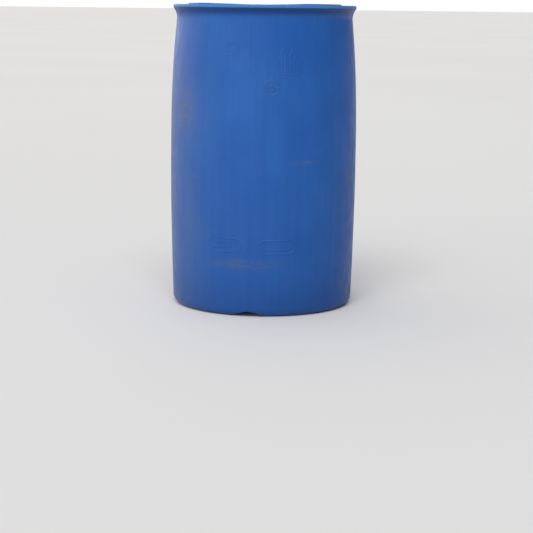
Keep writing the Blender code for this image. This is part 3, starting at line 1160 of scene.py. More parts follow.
@dataclass(frozen=True)
class BungPlug:
    """A large plug: a flanged cup, threaded outside and lugged inside, closed unless it carries a boss."""

    closure: Closure
    slot: str
    boss: ReducerPlug | None = None
    edge: float = 0.0012
    fillet: float = 0.001
    corner: float = 0.0006
    lug_foot: float = 0.0088
    overhang: float = 0.0005
    lug_share: float = 0.95
    bossed_lug_share: float = 0.9
    columns: int = 120

    def middle(self) -> list[Station]:
        """The floor's middle: a gate mark in a shallow ring, or the boss.

        Returns:
            The points as (r, z).
        """
        if self.boss:
            return self.boss.boss_profile()
        floor = self.closure.floor_z
        path = [(0, floor + 0.0009), (0.0011, floor + 0.0009), (0.0014, floor + 0.0003), (0.0032, floor)]
        return path + [(0.0082, floor), (0.0088, floor + 0.0005), (0.0098, floor + 0.0005), (0.0104, floor)]

    def profile(self) -> list[Station]:
        """The plug's section, from its middle over the flange to its underside.

        Returns:
            The points as (r, z).
        """
        c = self.closure
        socket, floor, flange = c.socket_radius, c.floor_z, c.insert_radius + self.overhang
        low = c.insert_top_z + c.gasket_thickness + 2 * c.gap
        top = low + c.flange_thickness
        path = self.middle()
        fillet, corner = self.fillet, self.corner
        path += line((max(path[-1][0] + corner, socket - self.lug_foot), floor), (socket - fillet, floor), 7)
        path += arc((socket - fillet, floor + fillet), fillet, -90, 0, 4)
        path += line((socket, floor + 2 * fillet), (socket, c.lug_top_z - 0.0004), 4)
        mouth = socket + 0.0003
        path += [(socket, c.lug_top_z), (socket + 0.0002, c.lug_top_z + 0.0001), (mouth, top - self.edge)]
        path += arc((mouth + self.edge, top - self.edge), self.edge, 180, 90, 5)
        path += [(flange - 0.0062, top), (flange - 0.0056, top - 0.0005), (flange - 0.0042, top - 0.0005)]
        path += [(flange - 0.0036, top)]
        path += arc((flange - self.edge, top - self.edge), self.edge, 90, 0, 6)
        path += arc((flange - corner, low + corner), corner, 0, -90, 4)
        path += [(c.thread.minor + 0.0003, low)]
        path += c.thread.rows(c.tooth_top_z, c.thread.minor)
        path += arc((c.thread.minor - self.edge, c.plug_bottom_z + self.edge), self.edge, 0, -90, 5)
        if self.boss:
            bore = self.boss.thread.bore
            return path + [(bore + corner, c.plug_bottom_z), (bore, path[0][1])]
        return path + [(0, c.plug_bottom_z)]

    def lug(self, azimuth: float) -> float:
        """The share of a wrench lug that stands at an azimuth.

        Args:
            azimuth: In radians.

        Returns:
            From 0 between two lugs to 1 on a lug.
        """
        c = self.closure
        step = 2 * math.pi / c.lugs
        turn = (azimuth - c.azimuth + step / 2) % step - step / 2
        half = c.lug_width / 2
        return smooth_step(abs(turn) * (c.socket_radius - half), half + 0.0005, half - 0.0005)

    def place(self, azimuth: float, radius: float, z: float) -> Vector:
        """Where a point of the plain plug goes, with the lugs and the teeth.

        Args:
            azimuth: The point's azimuth in radians.
            radius: Its distance from the plug's axis.
            z: Its height.

        Returns:
            The finished point.
        """
        c = self.closure
        if c.floor_z - TOUCH <= z <= c.lug_top_z + TOUCH and radius <= c.socket_radius + TOUCH:
            start = c.socket_radius - self.lug_foot
            share = min(max((radius - start) / (self.lug_foot - self.fillet), 0.0), 1.0)
            if self.boss is None or radius > self.boss.thread.bore + self.boss.boss_wall + self.fillet:
                reach = self.bossed_lug_share if self.boss else self.lug_share
                radius -= c.lug_length * share * self.lug(azimuth) * reach
        if abs(radius - c.thread.minor) < TOUCH:
            radius += c.thread.depth * c.thread.tooth(azimuth, z, c.tooth_top_z)
        if self.boss and abs(radius - self.boss.thread.bore) < TOUCH:
            thread = self.boss.thread
            radius -= thread.depth * thread.tooth(azimuth, z, self.boss.tooth_top_z - thread.pitch / 2)
        return round_point(azimuth, radius, z, c.centre)

    def build(self) -> bpy.types.Object:
        """Builds the plug as one object.

        Returns:
            The object.
        """
        bm = bmesh.new()
        lathe = Lathe(self.profile(), self.columns, first_azimuth=self.closure.azimuth)
        lathe.build(bm, self.place)
        bmesh.ops.remove_doubles(bm, verts=bm.verts, dist=1e-7)
        return add_object(f"{self.closure.name}_bung", bm)

    def dress(self, piece: bpy.types.Object, finish: "Finish") -> None:
        """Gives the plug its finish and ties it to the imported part."""
        name = self.closure.name
        attach(piece, finish, f"{name}_closure", f"{name}_plug")


def linear(hex_code: str) -> tuple[float, float, float, float]:
    """An sRGB hex colour as linear red, green, blue and full alpha."""
    parts = [int(hex_code[i : i + 2], 16) / 255 for i in (1, 3, 5)]
    return (*(c / 12.92 if c <= 0.04045 else ((c + 0.055) / 1.055) ** 2.4 for c in parts), 1.0)


class HdpeColour(Enum):
    """The colours of polyethylene used on the drum, as sRGB."""

    DRUM_BLUE = "#255FAD"
    CLOSURE_BLUE = "#24559F"
    NATURAL = "#D8D7CE"


class Tone(Enum):
    """What melt flow, handling, dirt, painted light and painted shade make of the blue, and the rest's own
    tones, as sRGB.
    """

    CLOUD = "#1F58A7"
    STREAK = "#1D5099"
    SPECKLE = "#16407F"
    PAINTED_LIP_LIGHT = "#4E98D2"
    RUB = "#7F97C2"
    SCRATCH = "#93A8CE"
    KNOCK = "#8BA6CF"
    WIPED_DUST = "#5B6373"
    DUST_AND_SHEEN = "#626B80"
    PAINTED_SHADE = "#123A75"
    SETTLED_DUST = "#B3B9C0"
    CLOSURE_DUST = "#8F959C"
    RUBBER = "#1B1B1C"
    BLOOM = "#343433"
    FLOOR = "#E6E6E5"
    PALE_FLOOR = "#E9E9E8"


def per_metre(size: tuple[float, float, float]) -> tuple[float, float, float]:
    """How often a pattern repeats in a metre along X, Y and Z, from its size in millimetres."""
    return 1 / (size[0] * MM), 1 / (size[1] * MM), 1 / (size[2] * MM)


@dataclass(frozen=True)
class Smear:
    """A patch where dust was wiped along the drum's side."""

    centre: tuple[float, float, float]
    half_size: tuple[float, float, float]
    share: float


# Settings that the nodes share: a range is mapped smoothly, and a mix is one of colours
SMOOTH = {"interpolation_type": "SMOOTHSTEP"}
COLOURS = {"data_type": "RGBA", "out": 2}


@dataclass(frozen=True)
class NodeBoard:
    """A tree of shader nodes that is being wired up."""

    tree: bpy.types.NodeTree

    def add(
        self,
        kind: str,
        inputs: dict[int | str, object] | None = None,
        out: int = 0,
        **settings: object,
    ) -> bpy.types.NodeSocket:
        """Adds a node with its settings and links.

        Args:
            kind: The node's type, without its "ShaderNode" prefix.
            inputs: A value or another node's output for each input, by name or number.
            out: Number of the output wanted.
            settings: The node's own settings.

        Returns:
            That output.
        """
        node = self.tree.nodes.new(f"ShaderNode{kind}")
        for name, value in settings.items():
            setattr(node, name, value)
        for key, value in (inputs or {}).items():
            if isinstance(value, bpy.types.NodeSocket):
                self.tree.links.new(value, node.inputs[key])
            else:
                node.inputs[key].default_value = value
        return node.outputs[out]

    def pattern(self, size: tuple[float, float, float], detail: float = 2.0) -> bpy.types.NodeSocket:
        """A cloudy pattern of a real size, which repeats about so far apart along X, Y and Z.

        Args:
            size: How far apart, in millimetres.
            detail: How many finer layers lie over the first.

        Returns:
            Its value, mostly between 0.25 and 0.75.
        """
        place = self.add("TexCoord", out=3)
        stretched = self.add("Mapping", {0: place, "Scale": per_metre(size)})
        return self.add("TexNoise", {"Vector": stretched, "Scale": 1.0, "Detail": detail})

    def scratches(self) -> bpy.types.NodeSocket:
        """Sparse scratches in three directions, 50 mm long and 1.5 mm wide, in patches 60 mm across.

        Returns:
            Where they are, from 0 to 1.
        """
        found = None
        for turn, spread, patch in ((0.35, 0.62, 57.637), (-0.5, 0.64, 60.606), (1.1, 0.66, 55.249)):
            place = self.add("TexCoord", out=3)
            turned = self.add("VectorRotate", {"Vector": place, "Angle": turn}, rotation_type="Y_AXIS")
            stretched = self.add("Mapping", {0: turned, "Scale": per_metre((52.632, 32.258, 1.42857))})
            lines = self.add("TexNoise", {"Vector": stretched, "Scale": 1.0, "Detail": 1.0})
            spots = self.pattern((patch, 58.824, 58.824), 1.0)
            where = self.add("MapRange", {0: spots, 1: spread - 0.04, 2: spread + 0.06}, **SMOOTH)
            both = self.add(
                "Math",
                {0: self.add("MapRange", {0: lines, 1: 0.70, 2: 0.76}, **SMOOTH), 1: where},
                operation="MULTIPLY",
            )
            found = both if found is None else self.add("Math", {0: found, 1: both}, operation="MAXIMUM")
        return found

    def smear(self, place: bpy.types.NodeSocket, spot: Smear) -> bpy.types.NodeSocket:
        """The share of dust that a wiped patch leaves.

        Args:
            place: The point's place.
            spot: The patch.

        Returns:
            The share.
        """
        away = self.add("VectorMath", {0: place, 1: spot.centre}, operation="SUBTRACT")
        scaled = self.add("VectorMath", {0: away, 1: spot.half_size}, operation="DIVIDE")
        inside = self.add(
            "MapRange",
            {0: self.add("VectorMath", {0: scaled}, out=1, operation="LENGTH"), 1: 1.1, 2: 0.25},
            **SMOOTH,
        )
        # Broken up in streaks 26 mm long and 8 mm high
        streaks = self.pattern((26.316, 26.316, 8.3333), 4.0)
        broken = self.add(
            "MapRange", {0: streaks, 1: 0.38, 2: 0.66, 3: spot.share * 0.15, 4: spot.share}, **SMOOTH
        )
        return self.add("Math", {0: inside, 1: broken}, operation="MULTIPLY")

    def finish(self, colour: object, roughness: object, normal: object, **values: float) -> None:
        """Connects the tree's Principled shader.

        Args:
            colour: The base colour's socket.
            roughness: The roughness's socket.
            normal: The bumped normal's socket.
            values: Other inputs of the shader, by their names with _ for each space.
        """
        shader = self.tree.nodes["Principled BSDF"]
        for name, socket in (("Base Color", colour), ("Roughness", roughness), ("Normal", normal)):
            self.tree.links.new(socket, shader.inputs[name])
        for name, value in values.items():
            shader.inputs[name.replace("_", " ")].default_value = value


class Finish:
    """A finish: what a piece is made of, and how its surface was made."""

    name: str

    def material(self) -> bpy.types.Material:
        """The finish's material, made on first use and shared after that.

        Returns:
            The material.
        """
        found = bpy.data.materials.get(self.name)
        if found:
            return found
        made = bpy.data.materials.new(self.name)
        made.use_nodes = True
        self.wire(NodeBoard(made.node_tree))
        return made

    def wire(self, board: NodeBoard) -> None:
        """Wires up the material's nodes; each finish has its own way."""
        raise NotImplementedError(self.name)


@dataclass(frozen=True)
class BlowMouldedHdpe(Finish):
    """Polyethylene of high density, blow-moulded in a blasted steel mould and handled on its way.

    To the eye it is a semi-gloss skin whose blasted grain breaks up reflections, with faint streaks down its
    length where the melt ran from the die, and paler rubs where it has rolled against its neighbours.
    """

    name: str = "blow_moulded_hdpe_blue"
    colour: HdpeColour = HdpeColour.DRUM_BLUE
    roughness: float = 0.42
    ior: float = 1.54
    specular: float = 0.20
    smears: tuple[Smear, ...] = (
        Smear((-0.055, -0.28, 0.162), (0.150, 0.12, 0.020), 0.56),
        Smear((-0.235, -0.17, 0.610), (0.050, 0.10, 0.085), 0.50),
        Smear((0.270, -0.11, 0.420), (0.035, 0.08, 0.045), 0.42),
        Smear((0.125, -0.26, 0.470), (0.055, 0.06, 0.007), 0.50),
    )

    def wire(self, board: NodeBoard) -> None:
        """Wires up the material's nodes.

        Args:
            board: The material's tree.
        """
        place = board.add("TexCoord", out=3)
        x, y, z = (board.add("SeparateXYZ", {0: place}, out=i) for i in range(3))
        up = board.add("SeparateXYZ", {0: board.add("NewGeometry", out=1)}, out=2)
        # Pigment clouds a hand wide, and die streaks 15 mm wide that run most of the drum's height
        clouds = board.pattern((111.11, 111.11, 166.67), 4.0)
        streaks = board.pattern((15.152, 15.152, 769.23), 3.0)
        blue = linear(self.colour.value)
        colour = board.add(
            "Mix",
            {
                0: board.add("MapRange", {0: clouds, 1: 0.3, 2: 0.7}, **SMOOTH),
                6: linear(Tone.CLOUD.value),
                7: blue,
            },
            **COLOURS,
        )
        colour = board.add(
            "Mix",
            {
                0: board.add("MapRange", {0: streaks, 1: 0.35, 2: 0.75, 4: 0.35}, **SMOOTH),
                6: colour,
                7: linear(Tone.STREAK.value),
            },
            **COLOURS,
        )
        rub = self.rubs(board, z)
        colour = board.add(
            "Mix",
            {
                0: board.add("Math", {0: rub, 1: 0.13}, operation="MULTIPLY"),
                6: colour,
                7: linear(Tone.RUB.value),
            },
            **COLOURS,
        )
        # Short scratches at all angles, half a millimetre wide, drawn 1.5 mm wide so that they show
        scratches = board.scratches()
        colour = board.add(
            "Mix",
            {
                0: board.add("Math", {0: scratches, 1: 0.13}, operation="MULTIPLY"),
                6: colour,
                7: linear(Tone.SCRATCH.value),
            },
            **COLOURS,
        )
        # Painted light: the lip's top band is painted a paler, greener blue, as if lit from above
        lip = self.lip(board, x, y, z)
        colour = board.add(
            "Mix",
            {
                0: board.add("Math", {0: lip, 1: 0.42}, operation="MULTIPLY"),
                6: colour,
                7: linear(Tone.PAINTED_LIP_LIGHT.value),
            },
            **COLOURS,
        )
        # Wear on the lip's nose and on the chime, where drums knock together and stand, in 8 mm marks
        knocks = board.add(
            "MapRange", {0: board.pattern((7.6923, 7.6923, 3.0303), 6.0), 1: 0.52, 2: 0.66}, **SMOOTH
        )
        chime = board.add("MapRange", {0: z, 1: 0.028, 2: 0.004}, **SMOOTH)
        edges = board.add(
            "Math",
            {0: board.add("Math", {0: lip, 1: chime}, operation="MAXIMUM"), 1: knocks},
            operation="MULTIPLY",
        )
        colour = board.add(
            "Mix",
            {
                0: board.add("Math", {0: edges, 1: 0.22}, operation="MULTIPLY"),
                6: colour,
                7: linear(Tone.KNOCK.value),
            },
            **COLOURS,
        )
        # Brown dust wiped along the side
        for spot in self.smears:
            colour = board.add(
                "Mix", {0: board.smear(place, spot), 6: colour, 7: linear(Tone.WIPED_DUST.value)}, **COLOURS
            )
        # A grey film on the left side, thicker lower down: partly dust, partly a painted greyish sheen
        colour = board.add(
            "Mix", {0: self.dust_and_sheen_film(board, x, z), 6: colour, 7: linear(Tone.DUST_AND_SHEEN.value)}, **COLOURS
        )
        # Painted shade: darker towards the foot and under the lip's flare
        colour = board.add(
            "Mix", {0: self.painted_shade(board, z, up, clouds), 6: colour, 7: linear(Tone.PAINTED_SHADE.value)}, **COLOURS
        )
        # Settled dust on whatever faces up, even, with a fine speckle 4 mm across
        speckle = board.pattern((4.1667, 4.1667, 4.1667), 3.0)
        drift = board.add(
            "MapRange",
            {0: board.pattern((142.86, 142.86, 142.86), 3.0), 1: 0.30, 2: 0.75, 3: 0.03, 4: 0.13},
            **SMOOTH,
        )
        dust = board.add(
            "Math",
            {
                0: board.add("MapRange", {0: up, 1: 0.55, 2: 0.98}, **SMOOTH),
                1: board.add("MapRange", {0: speckle, 1: 0.25, 2: 0.75, 3: 0.6}, **SMOOTH),
            },
            operation="MULTIPLY",
        )
        dust = board.add("Math", {0: dust, 1: drift}, operation="MULTIPLY")
        colour = board.add("Mix", {0: dust, 6: colour, 7: linear(Tone.SETTLED_DUST.value)}, **COLOURS)
        colour = board.add(
            "Mix",
            {
                0: board.add("MapRange", {0: speckle, 1: 0.62, 2: 0.80, 4: 0.10}, **SMOOTH),
                6: colour,
                7: linear(Tone.SPECKLE.value),
            },
            **COLOURS,
        )
        # Worn and dusty places are duller, and gloss wanders in patches 30 mm across
        worn = board.add("Math", {0: rub, 1: dust}, operation="MAXIMUM")
        worn = board.add(
            "Math",
            {0: worn, 1: board.add("Math", {0: edges, 1: scratches}, operation="MAXIMUM")},
            operation="MAXIMUM",
        )
        patches = board.pattern((29.412, 29.412, 50.0), 3.0)
        gloss = board.add(
            "MapRange",
            {0: patches, 1: 0.3, 2: 0.7, 3: self.roughness - 0.05, 4: self.roughness + 0.05},
            **SMOOTH,
        )
        rough = board.add(
            "Math",
            {0: gloss, 1: board.add("Math", {0: worn, 1: 0.14}, operation="MULTIPLY")},
            operation="ADD",
        )
        # Grain of the blasted mould, 0.4 mm in life, drawn 1.2 mm so that it shows, on swells 40 mm across
        swell = board.add(
            "Bump",
            {"Height": board.pattern((41.667, 41.667, 62.5), 1.0), "Distance": 0.0007, "Strength": 1.0},
        )
        grain = board.add(
            "Bump",
            {
                "Height": board.pattern((1.20482, 1.20482, 1.20482), 3.0),
                "Distance": 0.00012,
                "Strength": 1.0,
                "Normal": swell,
            },
        )
        normal = board.add(
            "Bump", {"Height": scratches, "Distance": -0.00006, "Strength": 1.0, "Normal": grain}
        )
        board.finish(colour, rough, normal, IOR=self.ior, Specular_IOR_Level=self.specular)

    def rubs(self, board: NodeBoard, z: bpy.types.NodeSocket) -> bpy.types.NodeSocket:
        """Level rubs, since a drum is rolled and turned upright: 0.3 m long, 3 mm wide, in 110 mm patches.

        Args:
            board: The material's tree.
            z: The point's height.

        Returns:
            Their share, most round the belly.
        """
        rubs = board.add(
            "MapRange", {0: board.pattern((294.12, 294.12, 3.0303), 4.0), 1: 0.54, 2: 0.76}, **SMOOTH
        )
        patches = board.add(
            "MapRange", {0: board.pattern((111.11, 111.11, 71.429), 3.0), 1: 0.48, 2: 0.72}, **SMOOTH
        )
        belly = board.add(
            "MapRange",
            {
                0: board.add(
                    "Math",
                    {0: board.add("Math", {0: z, 1: 0.45}, operation="SUBTRACT")},
                    operation="ABSOLUTE",
                ),
                1: 0.05,
                2: 0.40,
                3: 1.0,
                4: 0.3,
            },
            **SMOOTH,
        )
        return board.add(
            "Math",
            {0: board.add("Math", {0: rubs, 1: patches}, operation="MULTIPLY"), 1: belly},
            operation="MULTIPLY",
        )

    def lip(
        self,
        board: NodeBoard,
        x: bpy.types.NodeSocket,
        y: bpy.types.NodeSocket,
        z: bpy.types.NodeSocket,
    ) -> bpy.types.NodeSocket:
        """Where the lip's top band is: a mask for its painted light and for knocks.

        Args:
            board: The material's tree.
            x: The point's place across.
            y: Its place from front to back.
            z: Its height.

        Returns:
            Its share.
        """
        spread = board.add("CombineXYZ", {0: x, 1: y})
        radius = board.add("VectorMath", {0: spread}, out=1, operation="LENGTH")
        return board.add(
            "Math",
            {
                0: board.add("MapRange", {0: z, 1: 0.919, 2: 0.925}, **SMOOTH),
                1: board.add("MapRange", {0: radius, 1: 0.264, 2: 0.270}, **SMOOTH),
            },
            operation="MULTIPLY",
        )

    def dust_and_sheen_film(
        self, board: NodeBoard, x: bpy.types.NodeSocket, z: bpy.types.NodeSocket
    ) -> bpy.types.NodeSocket:
        """A grey film on the left side, thin at the top, in 90 mm clouds: partly dust, partly a painted
        greyish sheen on that side.

        Args:
            board: The material's tree.
            x: The point's place across.
            z: Its height.

        Returns:
            Its share.
        """
        film = board.add(
            "Math",
            {
                0: board.add("MapRange", {0: x, 1: -0.12, 2: -0.27}, **SMOOTH),
                1: board.add("MapRange", {0: z, 1: 0.86, 2: 0.55, 3: 0.15}, **SMOOTH),
            },
            operation="MULTIPLY",
        )
        clouds = board.pattern((90.909, 90.909, 200.0), 4.0)
        return board.add(
            "Math",
            {0: film, 1: board.add("MapRange", {0: clouds, 1: 0.25, 2: 0.75, 3: 0.14, 4: 0.42}, **SMOOTH)},
            operation="MULTIPLY",
        )

    def painted_shade(
        self,
        board: NodeBoard,
        z: bpy.types.NodeSocket,
        up: bpy.types.NodeSocket,
        clouds: bpy.types.NodeSocket,
    ) -> bpy.types.NodeSocket:
        """Painted shade: the blue darkened towards the foot, and darkened under the lip's flare, where shade
        falls.

        Args:
            board: The material's tree.
            z: The point's height.
            up: How far the surface faces up.
            clouds: The pigment's clouds, which break it up a little.

        Returns:
            Its share.
        """
        # Painted shade, darker towards the foot
        foot = board.add(
            "Math",
            {
                0: board.add("MapRange", {0: z, 1: 0.60, 2: 0.0, 4: 0.26}, **SMOOTH),
                1: board.add("MapRange", {0: z, 1: 0.16, 2: 0.0, 4: 0.34}, **SMOOTH),
            },
            operation="ADD",
        )
        foot = board.add(
            "Math",
            {0: foot, 1: board.add("MapRange", {0: clouds, 1: 0.2, 2: 0.7, 3: 0.8}, **SMOOTH)},
            operation="MULTIPLY",
        )
        # Painted shade under the lip's flare, where the surface faces down
        under_lip_shade = board.add(
            "Math",
            {
                0: board.add("MapRange", {0: up, 1: -0.10, 2: -0.45}, **SMOOTH),
                1: board.add("MapRange", {0: z, 1: 0.88, 2: 0.90, 4: 0.85}, **SMOOTH),
            },
            operation="MULTIPLY",
        )
        return board.add("Math", {0: foot, 1: under_lip_shade}, operation="MAXIMUM")


@dataclass(frozen=True)
class InjectionMouldedHdpe(Finish):
    """Polyethylene injected into a polished steel mould: smoother than the drum, with faint flow marks.

    To the eye it is a waxy semi-gloss; unpigmented, it lets a little light through its edges.
    """

    name: str
    colour: HdpeColour
    shade: str
    roughness: float = 0.34
    ior: float = 1.54
    translucency: float = 0.0

    def wire(self, board: NodeBoard) -> None:
        """Wires up the material's nodes.

        Args:
            board: The material's tree.
        """
        # Flow marks 12 mm apart and a mottle of 4 mm from the melt's cooling
        flow = board.pattern((12.5, 12.5, 25.0), 3.0)
        mottle = board.pattern((4.0, 4.0, 4.0), 3.0)
        colour = board.add(
            "Mix",
            {
                0: board.add("MapRange", {0: flow, 1: 0.3, 2: 0.7}, **SMOOTH),
                6: linear(self.colour.value),
                7: linear(self.shade),
            },
            **COLOURS,
        )
        colour = board.add(
            "Mix",
            {
                0: board.add("MapRange", {0: mottle, 1: 0.55, 2: 0.75, 4: 0.25}, **SMOOTH),
                6: colour,
                7: linear(self.shade),
            },
            **COLOURS,
        )
        up = board.add("SeparateXYZ", {0: board.add("NewGeometry", out=1)}, out=2)
        dust = board.add(
            "Math",
            {
                0: board.add("MapRange", {0: up, 1: 0.5, 2: 0.95}, **SMOOTH),
                1: board.add("MapRange", {0: flow, 1: 0.35, 2: 0.75, 3: 0.04, 4: 0.22}, **SMOOTH),
            },
            operation="MULTIPLY",
        )
        colour = board.add("Mix", {0: dust, 6: colour, 7: linear(Tone.CLOSURE_DUST.value)}, **COLOURS)
        gloss = board.add(
            "MapRange",
            {0: mottle, 1: 0.3, 2: 0.7, 3: self.roughness - 0.06, 4: self.roughness + 0.06},
            **SMOOTH,
        )
        rough = board.add("Math", {0: gloss, 1: dust}, operation="ADD")
        # Drag lines of the tool, 0.3 mm apart in life, drawn 0.8 mm
        swell = board.add("Bump", {"Height": flow, "Distance": 0.0002, "Strength": 1.0})
        normal = board.add(
            "Bump",
            {
                "Height": board.pattern((0.8, 0.8, 2.0), 2.0),
                "Distance": 0.00003,
                "Strength": 1.0,
                "Normal": swell,
            },
        )
        board.finish(
            colour,
            rough,
            normal,
            IOR=self.ior,
            Subsurface_Weight=self.translucency,
            Subsurface_Scale=0.003,
        )


@dataclass(frozen=True)
class MouldedRubber(Finish):
    """EPDM rubber, compression-moulded: matt black, with a fine even tooth and a trace of pale bloom."""

    name: str = "moulded_epdm_rubber"
    roughness: float = 0.72
    ior: float = 1.52

    def wire(self, board: NodeBoard) -> None:
        """Wires up the material's nodes.

        Args:
            board: The material's tree.
        """
        # Bloom in clouds of 8 mm, and the mould's tooth, 0.5 mm across
        bloom = board.pattern((8.0, 8.0, 8.0), 3.0)
        black, grey = linear(Tone.RUBBER.value), linear(Tone.BLOOM.value)
        colour = board.add(
            "Mix",
            {0: board.add("MapRange", {0: bloom, 1: 0.42, 2: 0.75}, **SMOOTH), 6: black, 7: grey},
            **COLOURS,
        )
        rough = board.add(
            "MapRange",
            {0: bloom, 1: 0.3, 2: 0.7, 3: self.roughness - 0.06, 4: self.roughness + 0.06},
            **SMOOTH,
        )
        normal = board.add(
            "Bump", {"Height": board.pattern((0.5, 0.5, 0.5), 2.0), "Distance": 0.00004, "Strength": 1.0}
        )
        board.finish(colour, rough, normal, IOR=self.ior)


@dataclass(frozen=True)
class PaintedFloor(Finish):
    """A studio floor painted matt off-white, rolled on: nearly even, with a soft roller stipple."""

    name: str = "rolled_matt_paint"
    roughness: float = 0.85

    def wire(self, board: NodeBoard) -> None:
        """Wires up the material's nodes.

        Args:
            board: The material's tree.
        """
        # Tone drifts over 6 m, and the stipple of the roller is 3 mm
        drift = board.pattern((6250.0, 6250.0, 6250.0), 1.0)
        white, pale = linear(Tone.FLOOR.value), linear(Tone.PALE_FLOOR.value)
        colour = board.add(
            "Mix",
            {0: board.add("MapRange", {0: drift, 1: 0.3, 2: 0.7}, **SMOOTH), 6: white, 7: pale},
            **COLOURS,
        )
        rough = board.add(
            "MapRange", {0: drift, 1: 0.3, 2: 0.7, 3: self.roughness, 4: self.roughness + 0.05}, **SMOOTH
        )
        normal = board.add(
            "Bump",
            {"Height": board.pattern((3.0303, 3.0303, 3.0303), 1.0), "Distance": 0.0001, "Strength": 1.0},
        )
        board.finish(colour, rough, normal, Specular_IOR_Level=0.2)


@dataclass(frozen=True)
class SoftKey:
    """A broad distant light, as a large frame of diffusing cloth gives, with no hard edge to its shadows."""

    azimuth: float = -7.0
    elevation: float = 50.0
    spread: float = 38.0
    strength: float = 1.62
    colour: str = "#FFFCF7"

    def build(self) -> bpy.types.Object:
        """Builds the light and aims it.

        Returns:
            The light.
        """
        lamp = bpy.data.lights.new("key_light", "SUN")
        lamp.angle, lamp.energy = math.radians(self.spread), self.strength
        lamp.color = linear(self.colour)[:3]
        light = bpy.data.objects.new("key_light", lamp)
        high = math.tan(math.radians(self.elevation))
        light.location = round_point(math.radians(self.azimuth), 3.0, 3.0 * high)
        light.rotation_euler = light.location.to_track_quat("Z", "Y").to_euler()
        bpy.context.scene.collection.objects.link(light)
        return light


@dataclass(frozen=True)
class Surroundings:
    """A pale room: bright to the left and behind, dim to the right, with a window to the left in front."""

    room: str = "#B4B9C2"
    room_strength: float = 0.82
    bright: str = "#FFF4EA"
    bright_strength: float = 2.25
    bright_side: tuple[float, float, float] = (-0.64, 0.77, 0.0)
    dim: str = "#8C929C"
    dim_strength: float = 0.32
    dim_side: tuple[float, float, float] = (0.95, 0.31, 0.0)
    window: str = "#FFFAF4"
    window_strength: float = 1.9
    window_side: tuple[float, float, float] = (-0.60, -0.80, 0.0)
    backdrop: str = "#FFFFFF"

    def build(self) -> None:
        """Makes the world, which lights the drum as the room does and shows plain white behind it."""
        world = bpy.data.worlds.new("studio_surroundings")
        world.use_nodes = True
        board = NodeBoard(world.node_tree)
        way = board.add("TexCoord", out=0)
        height = board.add("Math", {0: board.add("SeparateXYZ", {0: way}, out=2)}, operation="ABSOLUTE")
        level = board.add("MapRange", {0: height, 1: 0.75, 2: 0.15}, **SMOOTH)
        mixed = board.add("Background", {"Color": linear(self.room), "Strength": self.room_strength})
        for side, start, colour, strength in (
            (self.dim_side, 0.2, self.dim, self.dim_strength),
            (self.window_side, 0.72, self.window, self.window_strength),
            (self.bright_side, 0.1, self.bright, self.bright_strength),
        ):
            facing = board.add("VectorMath", {0: way, 1: side}, out=1, operation="DOT_PRODUCT")
            share = board.add(
                "Math",
                {0: board.add("MapRange", {0: facing, 1: start, 2: 0.95}, **SMOOTH), 1: level},
                operation="MULTIPLY",
            )
            light = board.add("Background", {"Color": linear(colour), "Strength": strength})
            mixed = board.add("MixShader", {0: share, 1: mixed, 2: light})
        seen = board.add("LightPath", out=0)
        plain = board.add("Background", {"Color": linear(self.backdrop), "Strength": 1.0})
        mixed = board.add("MixShader", {0: seen, 1: mixed, 2: plain})
        world.node_tree.links.new(mixed, world.node_tree.nodes["World Output"].inputs["Surface"])
        bpy.context.scene.world = world


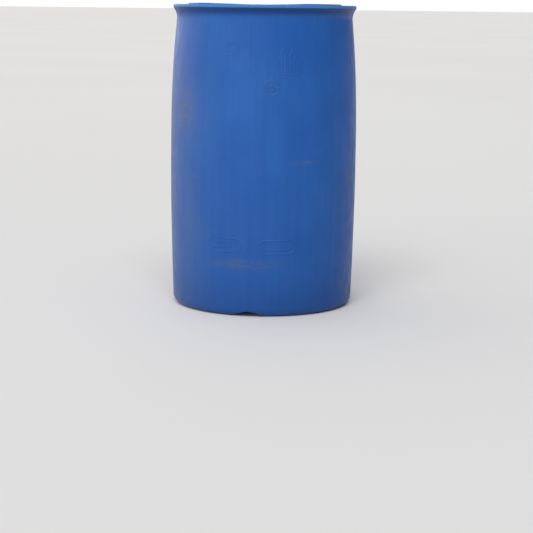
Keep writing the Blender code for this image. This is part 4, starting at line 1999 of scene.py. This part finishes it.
@dataclass(frozen=True)
class Studio:
    """The floor, which runs on to the horizon, the lights and the camera."""

    floor_radius: float = 900.0
    key: SoftKey = SoftKey()
    surroundings: Surroundings = Surroundings()
    camera_place: tuple[float, float, float] = (0.0139, -4.72, 0.9225)
    camera_down: float = 9.79
    camera_roll: float = 0.66
    lens: float = 101.3
    sensor: float = 36.0

    def build(self) -> None:
        """Builds the floor, the lights, the surroundings and the camera."""
        bm = bmesh.new()
        Lathe([(0, 0), (6, 0), (40, 0), (self.floor_radius, 0)], 96).build(bm, round_point)
        floor = add_object("studio_floor", bm)
        floor.data.materials.append(PaintedFloor().material())
        self.key.build()
        self.surroundings.build()
        bpy.context.scene.view_settings.view_transform = "Standard"
        self.aim_camera()

    def aim_camera(self) -> None:
        """Places the camera a little below the drum's rim, looking slightly down and barely tilted."""
        down, roll = math.radians(self.camera_down), math.radians(self.camera_roll)
        right, up = Vector((1, 0, 0)), Vector((0, math.sin(down), math.cos(down)))
        ahead = Vector((0, math.cos(down), -math.sin(down)))
        across = right * math.cos(roll) + up * math.sin(roll)
        upward = up * math.cos(roll) - right * math.sin(roll)
        data = bpy.data.cameras.new("camera")
        data.lens, data.sensor_width = self.lens, self.sensor
        camera = bpy.data.objects.new("camera", data)
        axes = Matrix((across, upward, -ahead)).transposed().to_4x4()
        camera.matrix_world = Matrix.Translation(self.camera_place) @ axes
        bpy.context.scene.collection.objects.link(camera)
        bpy.context.scene.camera = camera


def large_seal(closure: Closure) -> SealRing:
    """The seal ring between a large plug's flange and its neck.

    Args:
        closure: The closure it belongs to.

    Returns:
        The ring, a little narrower than the neck's end.
    """
    low = closure.insert_top_z + closure.gap
    return SealRing(
        name=f"{closure.name}_seal_ring",
        node=f"{closure.name}_gasket",
        body=f"{closure.name}_seal",
        centre=closure.centre,
        inner=closure.thread.bore,
        outer=closure.insert_radius - 1.2 * MM,
        low=low,
        high=low + closure.gasket_thickness,
    )


def small_seal(reducer: ReducerPlug) -> SealRing:
    """The seal ring between the reducer plug's flange and its boss.

    Args:
        reducer: The plug.

    Returns:
        The ring, a little narrower than the flange.
    """
    low = reducer.boss_top_z + reducer.closure.gap
    return SealRing(
        name="reducer_seal_ring",
        node="reducer_gasket",
        body="reducer_seal",
        centre=reducer.closure.centre,
        inner=reducer.thread.bore,
        outer=reducer.flange_radius - 0.6 * MM,
        low=low,
        high=low + reducer.gasket_thickness,
    )


def main() -> None:
    """Builds, dresses and reports every piece, then builds the studio."""
    logging.basicConfig(level=logging.INFO, format="%(message)s")
    moulded = BlowMouldedHdpe()
    blue = InjectionMouldedHdpe("injection_moulded_hdpe_blue", HdpeColour.CLOSURE_BLUE, "#1F4B8F")
    natural = InjectionMouldedHdpe(
        "injection_moulded_hdpe_natural", HdpeColour.NATURAL, "#CBC9BC", translucency=0.12
    )
    rubber = MouldedRubber()
    reducer = ReducerPlug()
    parts = (
        (DrumBody(), moulded),
        (NeckInsert(FILLER), moulded),
        (NeckInsert(VENT), moulded),
        (large_seal(FILLER), rubber),
        (BungPlug(FILLER, "closure_blue"), blue),
        (large_seal(VENT), rubber),
        (BungPlug(VENT, "closure_white", reducer), natural),
        (small_seal(reducer), rubber),
        (reducer, blue),
    )
    for part, finish in parts:
        piece = part.build()
        part.dress(piece, finish)
        LOG.info("%s: %d faces, %s", piece.name, len(piece.data.polygons), finish.name)
    Studio().build()


if __name__ == "__main__":
    main()
